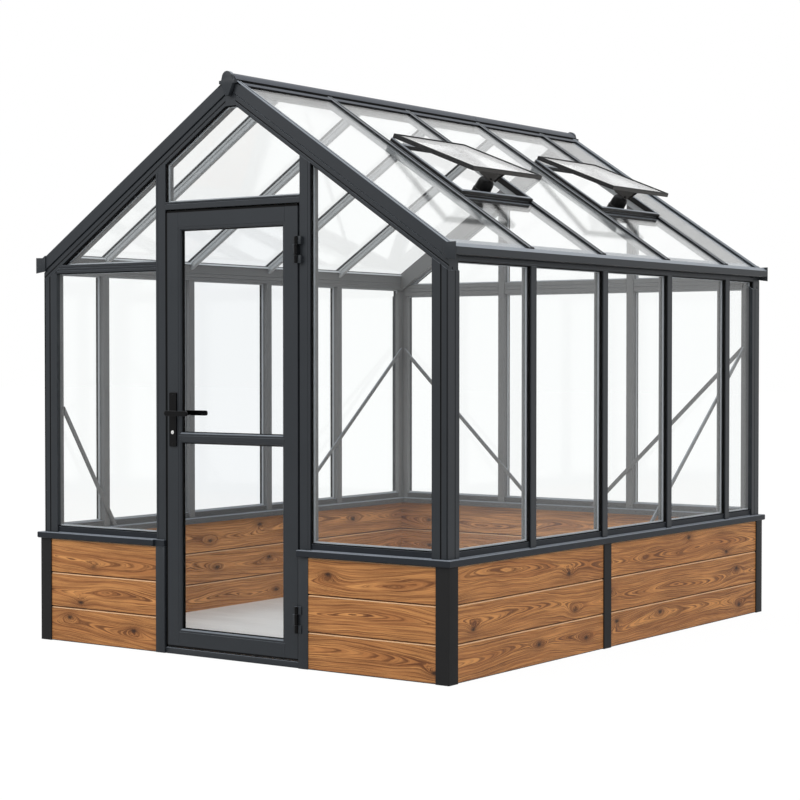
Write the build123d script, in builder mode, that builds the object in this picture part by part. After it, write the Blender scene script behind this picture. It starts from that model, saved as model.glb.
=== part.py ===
"""Gabled glass greenhouse on a timber knee wall, with a glazed door and two propped roof vents.

The building stands on z = 0. X runs across the house, Y along it, and the door is in the gable
that faces -Y. The origin is under the middle of the floor. All sizes are in millimetres.
"""

from build123d import *
import math
import os

# Overall size
house_width = 2440.0
house_length = 3050.0
roof_pitch = 33.6

# Timber base
base_post_size = 70.0
base_post_round = 14.0
door_base_post_width = 55.0
door_base_post_recess = 3.0
knee_wall_height = 503.0
knee_wall_thickness = 28.0
knee_wall_recess = 6.0
floor_thickness = 25.0

# Cap rail and glazing sill on top of the base
cap_thickness = 30.0
cap_overhang = 12.0
cap_inner_lip = 5.0
sill_height = 32.0
sill_depth = 36.0
sill_setback = 9.0

# Upper frame
frame_inset = 15.0
corner_post_size = 76.0
wall_post_width = 48.0
wall_post_depth = 55.0
gable_post_depth = 60.0
wall_bays = 5
short_bay = 344.0
front_bays = 2
eave_beam_bottom = 1804.0
eave_beam_top = 1865.0
tie_height = 40.0
back_tie_height = 70.0
back_tie_drop = 39.0

# Glass
glass_thickness = 4.0
glass_setback = 18.0

# Gutter
gutter_reach = 44.0
gutter_drop = 36.0
gutter_height = 50.0
gutter_wall = 3.0
gutter_back_height = 26.0

# Roof
rafter_drop = 102.0
fascia_drop = 49.0
fascia_thickness = 6.0
verge_strip_width = 36.0
verge_glass_edge = 16.0
ridge_beam_width = 60.0
roof_bar_width = 40.0
roof_bar_drop = 46.0
roof_bar_web = 10.0
roof_bar_cap_width = 32.0
roof_cap_height = 12.0
roof_glass_overhang = 8.0
ridge_cap_width = 130.0
ridge_cap_edge = 10.0
ridge_cap_crown_width = 80.0
ridge_cap_crown_height = 23.0
ridge_cap_seam = 2.0
ridge_end_thickness = 20.0
ridge_end_crown_width = 58.0
ridge_end_crown_round = 26.0
ridge_end_width = 68.0
ridge_end_ear_reach = 12.0
ridge_end_ear_top = 42.0
ridge_end_ear_height = 16.0
ridge_end_height = 112.0
ridge_end_foot_width = 18.0
ridge_end_rise = 6.0

eave_end_thickness = 6.0
eave_end_drop = 22.0
eave_end_rise = 4.0
eave_end_width = 62.0
eave_end_slant = 8.0

# Roof vents
vent_bays = (2, 4)
vent_top = 480.0
vent_length = 450.0
vent_bar_width = 35.0
vent_curb_width = 20.0
vent_curb_height = 30.0
vent_opening = 12.0
sash_side_gap = 25.0
sash_frame_width = 32.0
sash_thickness = 22.0
sash_glass_thickness = 4.0
hinge_edge_gap = 0.2
opener_setback = 77.0
opener_drum_foot = 45.0
opener_drum_head = 37.0
opener_drum_depth = 45.0
opener_foot_width = 40.0
opener_foot_height = 22.0
opener_arm_lift = 63.0
opener_arm_width = 30.0
opener_arm_reach = 190.0
opener_arm_end = 20.0

# Door
door_clear_width = 804.0
door_post_width = 60.0
door_gap = 8.0
door_bottom_gap = 6.0
door_top_gap = 8.0
door_sill_height = 28.0
door_leaf_height = 2043.0
door_leaf_thickness = 40.0
door_leaf_proud = 4.0
door_stile_width = 90.0
door_bottom_rail_height = 87.0
door_top_rail_height = 91.0
door_mid_rail_height = 48.0
door_mid_rail_middle = 1018.0
lintel_height = 35.0

# Door hinges
hinge_radius = 8.0
hinge_length = 120.0
hinge_pin_radius = 4.0
hinge_running_clearance = 0.05
hinge_face_clearance = 1.0
hinge_knuckle_length = 48.0
hinge_knuckle_gap = 1.0
hinge_plate_reach = 24.0
hinge_low_height = 219.0
hinge_high_height = 1873.0

# Door handle
handle_height = 1132.0
handle_plate_width = 42.0
handle_plate_length = 254.0
handle_plate_thickness = 8.0
handle_plate_drop = 30.0
handle_plate_inset = 25.0
spindle_radius = 6.0
spindle_bore_clearance = 4.0
lever_neck_radius = 9.0
lever_neck_gap = 0.3
lever_reach = 48.0
lever_length = 128.0
lever_height = 24.0
lever_thickness = 12.0

# Wall braces
brace_width = 22.0
brace_thickness = 8.0
brace_rear_height = 1450.0
brace_rear_run = 1090.0
brace_front_height = 1150.0
brace_front_run = 372.0
brace_gable_run = 950.0

os.makedirs("parts", exist_ok=True)

# Levels and lines worked out from the sizes above
base_x = house_width / 2
base_y = house_length / 2
frame_x = base_x - frame_inset
frame_y = base_y - frame_inset
corner_x = frame_x - corner_post_size
corner_y = frame_y - corner_post_size
wall_post_x = frame_x - wall_post_depth
gable_post_y = frame_y - gable_post_depth
cap_top = knee_wall_height + cap_thickness
sill_top = cap_top + sill_height
tie_top = eave_beam_bottom + tie_height
back_tie_bottom = eave_beam_bottom - back_tie_drop
back_tie_top = back_tie_bottom + back_tie_height
# The right wall has its short bay at the back. The left wall is the right one turned half round.
corner_line = frame_y - corner_post_size / 2
bay_length = (2 * corner_line - short_bay) / (wall_bays - 1)
post_lines = [bay_length * bay - corner_line for bay in range(1, wall_bays)]
mid_post_y = post_lines[front_bays - 1]
slope = math.tan(math.radians(roof_pitch))
slope_cos = math.cos(math.radians(roof_pitch))
slope_sin = math.sin(math.radians(roof_pitch))
roof_apex = eave_beam_top + frame_x * slope
roof_glass_rise = glass_thickness / slope_cos
roof_cap_rise = roof_glass_rise + roof_cap_height
roof_glass_end = frame_x + roof_glass_overhang
ridge_half = ridge_beam_width / 2
door_half = door_clear_width / 2
door_post_x = door_half + door_post_width
door_base_post_x = door_half + door_base_post_width
knee_wall_x = base_x - knee_wall_recess - knee_wall_thickness
knee_wall_y = base_y - knee_wall_recess - knee_wall_thickness
glass_x = frame_x - glass_setback
glass_y = frame_y - glass_setback


def roof_line(x, rise=0.0):
    """Height of the roof plane at the distance x from the ridge, plus a vertical rise."""
    return roof_apex - abs(x) * slope + rise


def under_rafter(x):
    """Height of the gable rafters' underside at x."""
    return roof_line(x, -rafter_drop)


def roof_band(x_near, x_far, low, high):
    """Corners of a sloping band between two rises above the roof plane."""
    return [
        (x_near, roof_line(x_near, low)),
        (x_far, roof_line(x_far, low)),
        (x_far, roof_line(x_far, high)),
        (x_near, roof_line(x_near, high)),
    ]


def slope_point(along, out):
    """A point on the right slope: a distance down from the apex and a distance off the plane."""
    x = along * slope_cos + out * slope_sin
    z = roof_apex - along * slope_sin + out * slope_cos
    return (x, z)


def across(points, y_low, y_high):
    """Extrude an X-Z outline along Y, from y_low to y_high, into the current part."""
    with BuildSketch(Plane.XZ.offset(-y_high)) as section:
        with BuildLine():
            Polyline(*points, close=True)
        make_face()
    extrude(section.sketch, amount=y_high - y_low)


def along(points, x_low, x_high):
    """Extrude a Y-Z outline along X, from x_low to x_high, into the current part."""
    with BuildSketch(Plane.YZ.offset(x_low)) as section:
        with BuildLine():
            Polyline(*points, close=True)
        make_face()
    extrude(section.sketch, amount=x_high - x_low)


def block(x_low, x_high, y_low, y_high, z_low, z_high, mode=Mode.ADD):
    """A rectangular block between two corners in the current part."""
    middle = ((x_low + x_high) / 2, (y_low + y_high) / 2, (z_low + z_high) / 2)
    with Locations(middle):
        Box(x_high - x_low, y_high - y_low, z_high - z_low, mode=mode)


def rectangle(a_low, a_high, z_low, z_high):
    """Corners of an upright rectangle."""
    return [(a_low, z_low), (a_high, z_low), (a_high, z_high), (a_low, z_high)]


# ---------------------------------------------------------------- base

with BuildPart() as floor_slab:
    block(-knee_wall_x, knee_wall_x, -knee_wall_y, knee_wall_y, 0, floor_thickness)
    with GridLocations(house_width - base_post_size, house_length - base_post_size, 2, 2):
        Box(base_post_size, base_post_size, 2 * floor_thickness, mode=Mode.SUBTRACT)
    with Locations((base_x - base_post_size / 2, mid_post_y), (base_post_size / 2 - base_x, -mid_post_y)):
        Box(base_post_size, base_post_size, 2 * floor_thickness, mode=Mode.SUBTRACT)
    block(
        -door_base_post_x, door_base_post_x,
        -base_y, gable_post_depth - base_y + door_base_post_recess,
        0, floor_thickness, mode=Mode.SUBTRACT,
    )
floor_slab.part.label = "floor_slab"
export_step(floor_slab.part, "parts/floor_slab.step")

with BuildPart() as base_corner_posts:
    with BuildSketch():
        with GridLocations(house_width - base_post_size, house_length - base_post_size, 2, 2):
            Rectangle(base_post_size, base_post_size)
        outer_corners = [
            corner for corner in vertices().filter_by(
                lambda v: abs(v.X) > base_x - 1 and abs(v.Y) > base_y - 1
            )
        ]
        fillet(outer_corners, base_post_round)
    extrude(amount=knee_wall_height)
base_corner_posts.part.label = "base_corner_posts"
export_step(base_corner_posts.part, "parts/base_corner_posts.step")

with BuildPart() as base_mid_posts:
    block(
        base_x - base_post_size, base_x,
        mid_post_y - base_post_size / 2, mid_post_y + base_post_size / 2,
        0, knee_wall_height,
    )
    add(base_mid_posts.part.rotate(Axis.Z, 180))
base_mid_posts.part.label = "base_mid_posts"
export_step(base_mid_posts.part, "parts/base_mid_posts.step")

with BuildPart() as base_door_posts:
    block(
        door_half, door_base_post_x,
        door_base_post_recess - base_y, gable_post_depth - base_y + door_base_post_recess,
        0, knee_wall_height,
    )
    mirror(about=Plane.YZ)
base_door_posts.part.label = "base_door_posts"
export_step(base_door_posts.part, "parts/base_door_posts.step")

with BuildPart() as knee_wall_front:
    block(
        door_base_post_x, base_x - base_post_size,
        knee_wall_recess - base_y, -knee_wall_y, 0, knee_wall_height,
    )
    mirror(about=Plane.YZ)
knee_wall_front.part.label = "knee_wall_front"
export_step(knee_wall_front.part, "parts/knee_wall_front.step")

with BuildPart() as knee_wall_sides:
    block(
        knee_wall_x, base_x - knee_wall_recess,
        base_post_size - base_y, mid_post_y - base_post_size / 2, 0, knee_wall_height,
    )
    block(
        knee_wall_x, base_x - knee_wall_recess,
        mid_post_y + base_post_size / 2, base_y - base_post_size, 0, knee_wall_height,
    )
    add(knee_wall_sides.part.rotate(Axis.Z, 180))
knee_wall_sides.part.label = "knee_wall_sides"
export_step(knee_wall_sides.part, "parts/knee_wall_sides.step")

with BuildPart() as knee_wall_back:
    block(
        base_post_size - base_x, base_x - base_post_size,
        knee_wall_y, base_y - knee_wall_recess, 0, knee_wall_height,
    )
knee_wall_back.part.label = "knee_wall_back"
export_step(knee_wall_back.part, "parts/knee_wall_back.step")

# ---------------------------------------------------------------- cap rail and sill

cap_outer_x = base_x + cap_overhang
cap_outer_y = base_y + cap_overhang
cap_inner_x = corner_x - cap_inner_lip
cap_inner_y = corner_y - cap_inner_lip
sill_outer_x = frame_x - sill_setback
sill_inner_x = sill_outer_x - sill_depth
sill_outer_y = frame_y - sill_setback
sill_inner_y = sill_outer_y - sill_depth


def plan(points, z_low, z_high):
    """Extrude an X-Y outline upwards into the current part."""
    with BuildSketch(Plane.XY.offset(z_low)) as section:
        with BuildLine():
            Polyline(*points, close=True)
        make_face()
    extrude(section.sketch, amount=z_high - z_low)


with BuildPart() as cap_rail_right:
    plan(
        [
            (cap_outer_x, -cap_outer_y), (cap_outer_x, cap_outer_y),
            (cap_inner_x, cap_inner_y), (cap_inner_x, -cap_inner_y),
        ],
        knee_wall_height, cap_top,
    )
    block(sill_inner_x, sill_outer_x, -corner_y, corner_y, cap_top, sill_top)
cap_rail_right.part.label = "cap_rail_right"
export_step(cap_rail_right.part, "parts/cap_rail_right.step")

with BuildPart() as cap_rail_left:
    mirror(cap_rail_right.part, about=Plane.YZ)
cap_rail_left.part.label = "cap_rail_left"
export_step(cap_rail_left.part, "parts/cap_rail_left.step")

with BuildPart() as cap_rail_front:
    plan(
        [
            (door_half, -cap_outer_y), (cap_outer_x, -cap_outer_y),
            (cap_inner_x, -cap_inner_y), (door_half, -cap_inner_y),
        ],
        knee_wall_height, cap_top,
    )
    block(door_post_x, corner_x, -sill_outer_y, -sill_inner_y, cap_top, sill_top)
    mirror(about=Plane.YZ)
cap_rail_front.part.label = "cap_rail_front"
export_step(cap_rail_front.part, "parts/cap_rail_front.step")

with BuildPart() as cap_rail_back:
    plan(
        [
            (-cap_outer_x, cap_outer_y), (cap_outer_x, cap_outer_y),
            (cap_inner_x, cap_inner_y), (-cap_inner_x, cap_inner_y),
        ],
        knee_wall_height, cap_top,
    )
    block(-corner_x, corner_x, sill_inner_y, sill_outer_y, cap_top, sill_top)
cap_rail_back.part.label = "cap_rail_back"
export_step(cap_rail_back.part, "parts/cap_rail_back.step")

# ---------------------------------------------------------------- upper frame

with BuildPart() as corner_posts:
    across(
        [
            (corner_x, cap_top), (frame_x, cap_top),
            (frame_x, under_rafter(frame_x)), (corner_x, under_rafter(corner_x)),
        ],
        corner_y, frame_y,
    )
    mirror(about=Plane.YZ)
    mirror(about=Plane.XZ)
corner_posts.part.label = "corner_posts"
export_step(corner_posts.part, "parts/corner_posts.step")

with BuildPart() as side_posts:
    for post_y in post_lines:
        block(
            wall_post_x, frame_x,
            post_y - wall_post_width / 2, post_y + wall_post_width / 2,
            cap_top, eave_beam_bottom,
        )
    block(sill_inner_x, sill_outer_x, -corner_y, corner_y, cap_top, sill_top, mode=Mode.SUBTRACT)
    add(side_posts.part.rotate(Axis.Z, 180))
side_posts.part.label = "side_posts"
export_step(side_posts.part, "parts/side_posts.step")

with BuildPart() as door_posts:
    across(
        [
            (door_half, cap_top), (door_post_x, cap_top),
            (door_post_x, under_rafter(door_post_x)), (door_half, under_rafter(door_half)),
        ],
        -frame_y, -gable_post_y,
    )
    mirror(about=Plane.YZ)
door_posts.part.label = "door_posts"
export_step(door_posts.part, "parts/door_posts.step")

back_post_middle = door_half + door_post_width / 2
back_post_near = back_post_middle - wall_post_width / 2
back_post_far = back_post_middle + wall_post_width / 2

with BuildPart() as back_posts:
    across(
        [
            (back_post_near, cap_top), (back_post_far, cap_top),
            (back_post_far, under_rafter(back_post_far)),
            (back_post_near, under_rafter(back_post_near)),
        ],
        gable_post_y, frame_y,
    )
    mirror(about=Plane.YZ)
    block(-corner_x, corner_x, sill_inner_y, sill_outer_y, cap_top, sill_top, mode=Mode.SUBTRACT)
back_posts.part.label = "back_posts"
export_step(back_posts.part, "parts/back_posts.step")

door_leaf_bottom = door_sill_height + door_bottom_gap
door_leaf_top = door_leaf_bottom + door_leaf_height
lintel_bottom = door_leaf_top + door_top_gap
lintel_top = lintel_bottom + lintel_height
door_face = -frame_y - door_leaf_proud
door_back = door_face + door_leaf_thickness

with BuildPart() as door_lintel:
    block(-door_half, door_half, -frame_y, -gable_post_y, lintel_bottom, lintel_top)
door_lintel.part.label = "door_lintel"
export_step(door_lintel.part, "parts/door_lintel.step")

with BuildPart() as door_sill:
    block(
        -door_half, door_half,
        door_face, gable_post_depth - base_y + door_base_post_recess, 0, door_sill_height,
    )
door_sill.part.label = "door_sill"
export_step(door_sill.part, "parts/door_sill.step")



def tie_end(top):
    """Distance from the ridge at which a tie's top edge meets the underside of the rafter."""
    return (roof_apex - rafter_drop - top) / slope


def tie_outline(x_near, bottom, top):
    """Outline of a gable tie from the post face at x_near out to the corner post."""
    return [
        (x_near, bottom), (corner_x, bottom),
        (corner_x, under_rafter(corner_x)), (tie_end(top), top), (x_near, top),
    ]


with BuildPart() as front_tie:
    front_tie_outline = tie_outline(door_post_x, eave_beam_bottom, tie_top)
    across([(-x, z) for x, z in front_tie_outline], -frame_y, wall_post_depth - frame_y)
front_tie.part.label = "front_tie"
export_step(front_tie.part, "parts/front_tie.step")

with BuildPart() as back_ties:
    across(tie_outline(back_post_far, back_tie_bottom, back_tie_top), frame_y - wall_post_depth, frame_y)
    mirror(about=Plane.YZ)
    across(
        rectangle(-back_post_near, back_post_near, back_tie_bottom, back_tie_top),
        frame_y - wall_post_depth, frame_y,
    )
back_ties.part.label = "back_ties"
export_step(back_ties.part, "parts/back_ties.step")

with BuildPart() as eave_beams:
    across(
        [
            (wall_post_x, eave_beam_bottom), (frame_x, eave_beam_bottom),
            (frame_x, roof_line(frame_x)), (wall_post_x, roof_line(wall_post_x)),
        ],
        -corner_y, corner_y,
    )
    mirror(about=Plane.YZ)
eave_beams.part.label = "eave_beams"
export_step(eave_beams.part, "parts/eave_beams.step")

gutter_x = frame_x + gutter_reach
gutter_bottom = eave_beam_top - gutter_drop
gutter_top = gutter_bottom + gutter_height
fascia_y = frame_y + fascia_thickness

with BuildPart() as gutters:
    across(
        [
            (frame_x, gutter_bottom), (gutter_x, gutter_bottom), (gutter_x, gutter_top),
            (gutter_x - gutter_wall, gutter_top), (gutter_x - gutter_wall, gutter_bottom + gutter_wall),
            (frame_x + gutter_wall, gutter_bottom + gutter_wall),
            (frame_x + gutter_wall, gutter_bottom + gutter_back_height),
            (frame_x, gutter_bottom + gutter_back_height),
        ],
        -fascia_y, fascia_y,
    )
    for end in (-1, 1):
        inner_end = end * (fascia_y - gutter_wall)
        across(
            [
                (frame_x, gutter_bottom), (gutter_x, gutter_bottom),
                (gutter_x, gutter_top), (frame_x, gutter_bottom + gutter_back_height),
            ],
            min(inner_end, end * fascia_y), max(inner_end, end * fascia_y),
        )
    mirror(about=Plane.YZ)
gutters.part.label = "gutters"
export_step(gutters.part, "parts/gutters.step")

# ---------------------------------------------------------------- roof



def ridge_length(foot, y_low, y_high):
    """A length of the ridge beam down to the height foot."""
    across(
        [
            (-ridge_half, foot), (ridge_half, foot), (ridge_half, roof_line(ridge_half)),
            (0, roof_apex), (-ridge_half, roof_line(ridge_half)),
        ],
        y_low, y_high,
    )


with BuildPart() as ridge_beam:
    ridge_length(roof_line(ridge_half, -roof_bar_drop), -frame_y, frame_y)
    ridge_length(under_rafter(ridge_half), -frame_y, -corner_y)
    ridge_length(under_rafter(ridge_half), corner_y, frame_y)
ridge_beam.part.label = "ridge_beam"
export_step(ridge_beam.part, "parts/ridge_beam.step")

ridge_cap_half = ridge_cap_width / 2

with BuildPart() as front_rafters:
    across(roof_band(ridge_half, frame_x, -rafter_drop, 0), -frame_y, -corner_y)
    across(roof_band(ridge_half, frame_x, -fascia_drop, 0), -fascia_y, -frame_y)
    across(roof_band(ridge_cap_half, frame_x, 0, roof_cap_rise), -fascia_y, verge_glass_edge - fascia_y)
    across(
        roof_band(ridge_cap_half, frame_x, roof_glass_rise, roof_cap_rise),
        -fascia_y, verge_strip_width - fascia_y,
    )
    mirror(about=Plane.YZ)
front_rafters.part.label = "front_rafters"
export_step(front_rafters.part, "parts/front_rafters.step")

with BuildPart() as back_rafters:
    mirror(front_rafters.part, about=Plane.XZ)
back_rafters.part.label = "back_rafters"
export_step(back_rafters.part, "parts/back_rafters.step")

with BuildPart() as roof_bars:
    for bar_y in post_lines:
        across(
            roof_band(ridge_half, wall_post_x, -roof_bar_drop, 0),
            bar_y - roof_bar_width / 2, bar_y + roof_bar_width / 2,
        )
        across(
            roof_band(ridge_half, roof_glass_end, 0, roof_glass_rise),
            bar_y - roof_bar_web / 2, bar_y + roof_bar_web / 2,
        )
        across(
            roof_band(ridge_cap_half, roof_glass_end, roof_glass_rise, roof_cap_rise),
            bar_y - roof_bar_cap_width / 2, bar_y + roof_bar_cap_width / 2,
        )
    add(roof_bars.part.rotate(Axis.Z, 180))
roof_bars.part.label = "roof_bars"
export_step(roof_bars.part, "parts/roof_bars.step")

ridge_seam_y = post_lines[front_bays]
crown_half = ridge_cap_crown_width / 2


def ridge_cap(y_low, y_high):
    """One length of the ridge capping: flat wings and a rounded crown."""
    wing_low = roof_line(ridge_cap_half, roof_glass_rise)
    crown_foot = roof_line(crown_half, roof_glass_rise + ridge_cap_edge)
    with BuildSketch(Plane.XZ.offset(-y_high)) as section:
        with BuildLine():
            Polyline(
                (crown_half, crown_foot), (ridge_cap_half, wing_low + ridge_cap_edge),
                (ridge_cap_half, wing_low), (0, roof_line(0, roof_glass_rise)),
                (-ridge_cap_half, wing_low), (-ridge_cap_half, wing_low + ridge_cap_edge),
                (-crown_half, crown_foot),
            )
            ThreePointArc(
                (-crown_half, crown_foot),
                (0, roof_line(0, roof_glass_rise + ridge_cap_crown_height)),
                (crown_half, crown_foot),
            )
        make_face()
    extrude(section.sketch, amount=y_high - y_low)


with BuildPart() as ridge_caps:
    ridge_cap(-fascia_y, ridge_seam_y - ridge_cap_seam / 2)
    ridge_cap(ridge_seam_y + ridge_cap_seam / 2, fascia_y)
ridge_caps.part.label = "ridge_caps"
export_step(ridge_caps.part, "parts/ridge_caps.step")

with BuildPart() as ridge_end_caps:
    end_top = roof_line(0, roof_glass_rise + ridge_cap_crown_height + ridge_end_rise)
    end_half = ridge_end_width / 2
    ear_half = end_half + ridge_end_ear_reach
    ear_low = end_top - ridge_end_ear_top - ridge_end_ear_height
    right_side = [
        (ridge_end_crown_width / 2, end_top - ridge_end_crown_round),
        (end_half, end_top - ridge_end_ear_top), (ear_half, end_top - ridge_end_ear_top),
        (ear_half, ear_low), (end_half, ear_low),
        (ridge_end_foot_width / 2, end_top - ridge_end_height),
    ]
    left_side = [(-x, z) for x, z in reversed(right_side)]
    with BuildSketch(Plane.XZ.offset(fascia_y)):
        with BuildLine():
            Polyline(*right_side, *left_side)
            ThreePointArc(left_side[-1], (0, end_top), right_side[0])
        make_face()
    extrude(amount=ridge_end_thickness)
    mirror(about=Plane.XZ)
ridge_end_caps.part.label = "ridge_end_caps"
export_step(ridge_end_caps.part, "parts/ridge_end_caps.step")

with BuildPart() as eave_end_caps:
    end_near = gutter_x - eave_end_width
    end_low = gutter_bottom - eave_end_drop
    across(
        [
            (end_near, end_low + eave_end_slant), (gutter_x, end_low),
            (gutter_x, gutter_top + eave_end_rise), (frame_x, roof_line(frame_x, roof_cap_rise)),
            (end_near, roof_line(end_near, roof_cap_rise)),
        ],
        -fascia_y - eave_end_thickness, -fascia_y,
    )
    mirror(about=Plane.YZ)
    mirror(about=Plane.XZ)
eave_end_caps.part.label = "eave_end_caps"
export_step(eave_end_caps.part, "parts/eave_end_caps.step")

# ---------------------------------------------------------------- roof vents

vent_bottom = vent_top + vent_length
vent_lines = [bay_length * (bay - 0.5) - corner_line for bay in vent_bays]
bay_clear = bay_length - roof_bar_width
curb_low = vent_top - vent_curb_width
curb_high = vent_bottom + vent_curb_width
bar_low = vent_top - vent_bar_width
bar_high = vent_bottom + vent_bar_width
roof_bar_depth = roof_bar_drop * slope_cos
cap_clear = bay_length - roof_bar_cap_width


def slope_block(low, high, out_low, out_high, width, middle_y):
    """A bar across a bay of the right slope, between two distances down the slope."""
    corners = [
        slope_point(low, out_low), slope_point(high, out_low),
        slope_point(high, out_high), slope_point(low, out_high),
    ]
    across(corners, middle_y - width / 2, middle_y + width / 2)


with BuildPart() as vent_cross_bars:
    for vent_y in vent_lines:
        slope_block(bar_low, vent_top, -roof_bar_depth, 0, bay_clear, vent_y)
        slope_block(curb_low, vent_top, 0, vent_curb_height, cap_clear, vent_y)
        slope_block(vent_bottom, bar_high, -roof_bar_depth, 0, bay_clear, vent_y)
        slope_block(vent_bottom, curb_high, 0, vent_curb_height, cap_clear, vent_y)
vent_cross_bars.part.label = "vent_cross_bars"
export_step(vent_cross_bars.part, "parts/vent_cross_bars.step")

# The side curbs stand between the cross bars, over the inner edge of the roof bars.
side_curb_y = (cap_clear - vent_curb_width) / 2

with BuildPart() as vent_side_curbs:
    for vent_y in vent_lines:
        for side in (-1, 1):
            slope_block(
                vent_top, vent_bottom, 0, vent_curb_height,
                vent_curb_width, vent_y + side * side_curb_y,
            )
vent_side_curbs.part.label = "vent_side_curbs"
export_step(vent_side_curbs.part, "parts/vent_side_curbs.step")

sash_length = vent_length + 2 * vent_curb_width
sash_width = bay_length - 2 * sash_side_gap
sash_pitch = math.radians(roof_pitch - vent_opening)
sash_start = slope_point(curb_low, vent_curb_height + hinge_edge_gap)
sash_direction = (math.cos(sash_pitch), 0, -math.sin(sash_pitch))
sash_normal = (math.sin(sash_pitch), 0, math.cos(sash_pitch))
# The sash hinges at its edge nearest the ridge, which stays on the curb while the rest is lifted.
sash_plane = Plane(origin=(sash_start[0], 0, sash_start[1]), x_dir=sash_direction, z_dir=sash_normal)
sash_glass_length = sash_length - 2 * sash_frame_width
sash_glass_width = sash_width - 2 * sash_frame_width

with BuildPart(sash_plane) as vent_sashes:
    with Locations(*[(sash_length / 2, vent_y, sash_thickness / 2) for vent_y in vent_lines]):
        Box(sash_length, sash_width, sash_thickness)
        Box(sash_glass_length, sash_glass_width, sash_thickness, mode=Mode.SUBTRACT)
vent_sashes.part.label = "vent_sashes"
export_step(vent_sashes.part, "parts/vent_sashes.step")

with BuildPart(sash_plane) as vent_glass:
    with Locations(*[(sash_length / 2, vent_y, sash_thickness / 2) for vent_y in vent_lines]):
        Box(sash_glass_length, sash_glass_width, sash_glass_thickness)
vent_glass.part.label = "vent_glass"
export_step(vent_glass.part, "parts/vent_glass.step")


def sash_underside(distance):
    """A point on the underside of the raised sash, measured down from its upper edge."""
    return (
        sash_start[0] + distance * math.cos(sash_pitch),
        sash_start[1] - distance * math.sin(sash_pitch),
    )


# Each opener is a drum that stands square to the roof on a foot from the lower cross bar, and
# carries a bracket whose top lies under the sash.
opener_line = vent_bottom - opener_setback
arm_end = sash_length - opener_arm_end

with BuildPart() as vent_openers:
    for vent_y in vent_lines:
        drum_x, drum_z = slope_point(opener_line, (opener_arm_lift - opener_drum_depth) / 2)
        drum_middle = Plane(
            origin=(drum_x, vent_y, drum_z),
            x_dir=(slope_cos, 0, -slope_sin), z_dir=(slope_sin, 0, slope_cos),
        )
        with Locations(drum_middle):
            Cone(opener_drum_foot, opener_drum_head, opener_arm_lift + opener_drum_depth)
        slope_block(
            opener_line, vent_bottom, -opener_drum_depth, opener_foot_height - opener_drum_depth,
            opener_foot_width, vent_y,
        )
        across(
            [
                slope_point(opener_line - opener_drum_head, opener_arm_lift),
                slope_point(opener_line + opener_drum_head, opener_arm_lift),
                sash_underside(arm_end), sash_underside(arm_end - opener_arm_reach),
            ],
            vent_y - opener_arm_width / 2, vent_y + opener_arm_width / 2,
        )
vent_openers.part.label = "vent_openers"
export_step(vent_openers.part, "parts/vent_openers.step")

# ---------------------------------------------------------------- glass

bay_edges = [-corner_y]
for line in post_lines:
    bay_edges += [line - wall_post_width / 2, line + wall_post_width / 2]
bay_edges.append(corner_y)
wall_panes = list(zip(bay_edges[0::2], bay_edges[1::2]))

with BuildPart() as wall_glass:
    for pane_start, pane_end in wall_panes:
        block(
            glass_x - glass_thickness, glass_x, pane_start, pane_end, sill_top, eave_beam_bottom
        )
    add(wall_glass.part.rotate(Axis.Z, 180))
wall_glass.part.label = "wall_glass"
export_step(wall_glass.part, "parts/wall_glass.step")


def corner_pane(x_near, low):
    """Outline of the gable pane between a post and the rafter, above the tie."""
    return [(x_near, low), (tie_end(low), low), (x_near, under_rafter(x_near))]


def apex_pane(x_half, z_low):
    """Outline of the pane under the apex of the gable."""
    return [
        (-x_half, z_low), (x_half, z_low), (x_half, under_rafter(x_half)),
        (ridge_half, under_rafter(ridge_half)), (-ridge_half, under_rafter(ridge_half)),
        (-x_half, under_rafter(x_half)),
    ]


with BuildPart() as gable_glass_front:
    front_panes = [
        rectangle(-corner_x, -door_post_x, sill_top, eave_beam_bottom),
        [(-x, z) for x, z in corner_pane(door_post_x, tie_top)],
        [
            (door_post_x, sill_top), (corner_x, sill_top),
            (corner_x, under_rafter(corner_x)), (door_post_x, under_rafter(door_post_x)),
        ],
        apex_pane(door_half, lintel_top),
    ]
    for pane in front_panes:
        across(pane, -glass_y, glass_thickness - glass_y)
gable_glass_front.part.label = "gable_glass_front"
export_step(gable_glass_front.part, "parts/gable_glass_front.step")

with BuildPart() as gable_glass_back:
    back_panes = [
        rectangle(back_post_far, corner_x, sill_top, back_tie_bottom),
        rectangle(-corner_x, -back_post_far, sill_top, back_tie_bottom),
        rectangle(-back_post_near, back_post_near, sill_top, back_tie_bottom),
        corner_pane(back_post_far, back_tie_top),
        [(-x, z) for x, z in corner_pane(back_post_far, back_tie_top)],
        apex_pane(back_post_near, back_tie_top),
    ]
    for pane in back_panes:
        across(pane, glass_y - glass_thickness, glass_y)
gable_glass_back.part.label = "gable_glass_back"
export_step(gable_glass_back.part, "parts/gable_glass_back.step")

verge_glass_y = fascia_y - verge_glass_edge
roof_edges = [-verge_glass_y]
for line in post_lines:
    roof_edges += [line - roof_bar_web / 2, line + roof_bar_web / 2]
roof_edges.append(verge_glass_y)
roof_panes = list(zip(roof_edges[0::2], roof_edges[1::2]))
ridge_glass_gap = roof_bar_web / 2

with BuildPart() as roof_glass_left:
    for pane_start, pane_end in roof_panes:
        left_band = roof_band(ridge_glass_gap, roof_glass_end, 0, roof_glass_rise)
        across([(-x, z) for x, z in left_band], -pane_end, -pane_start)
roof_glass_left.part.label = "roof_glass_left"
export_step(roof_glass_left.part, "parts/roof_glass_left.step")

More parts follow.
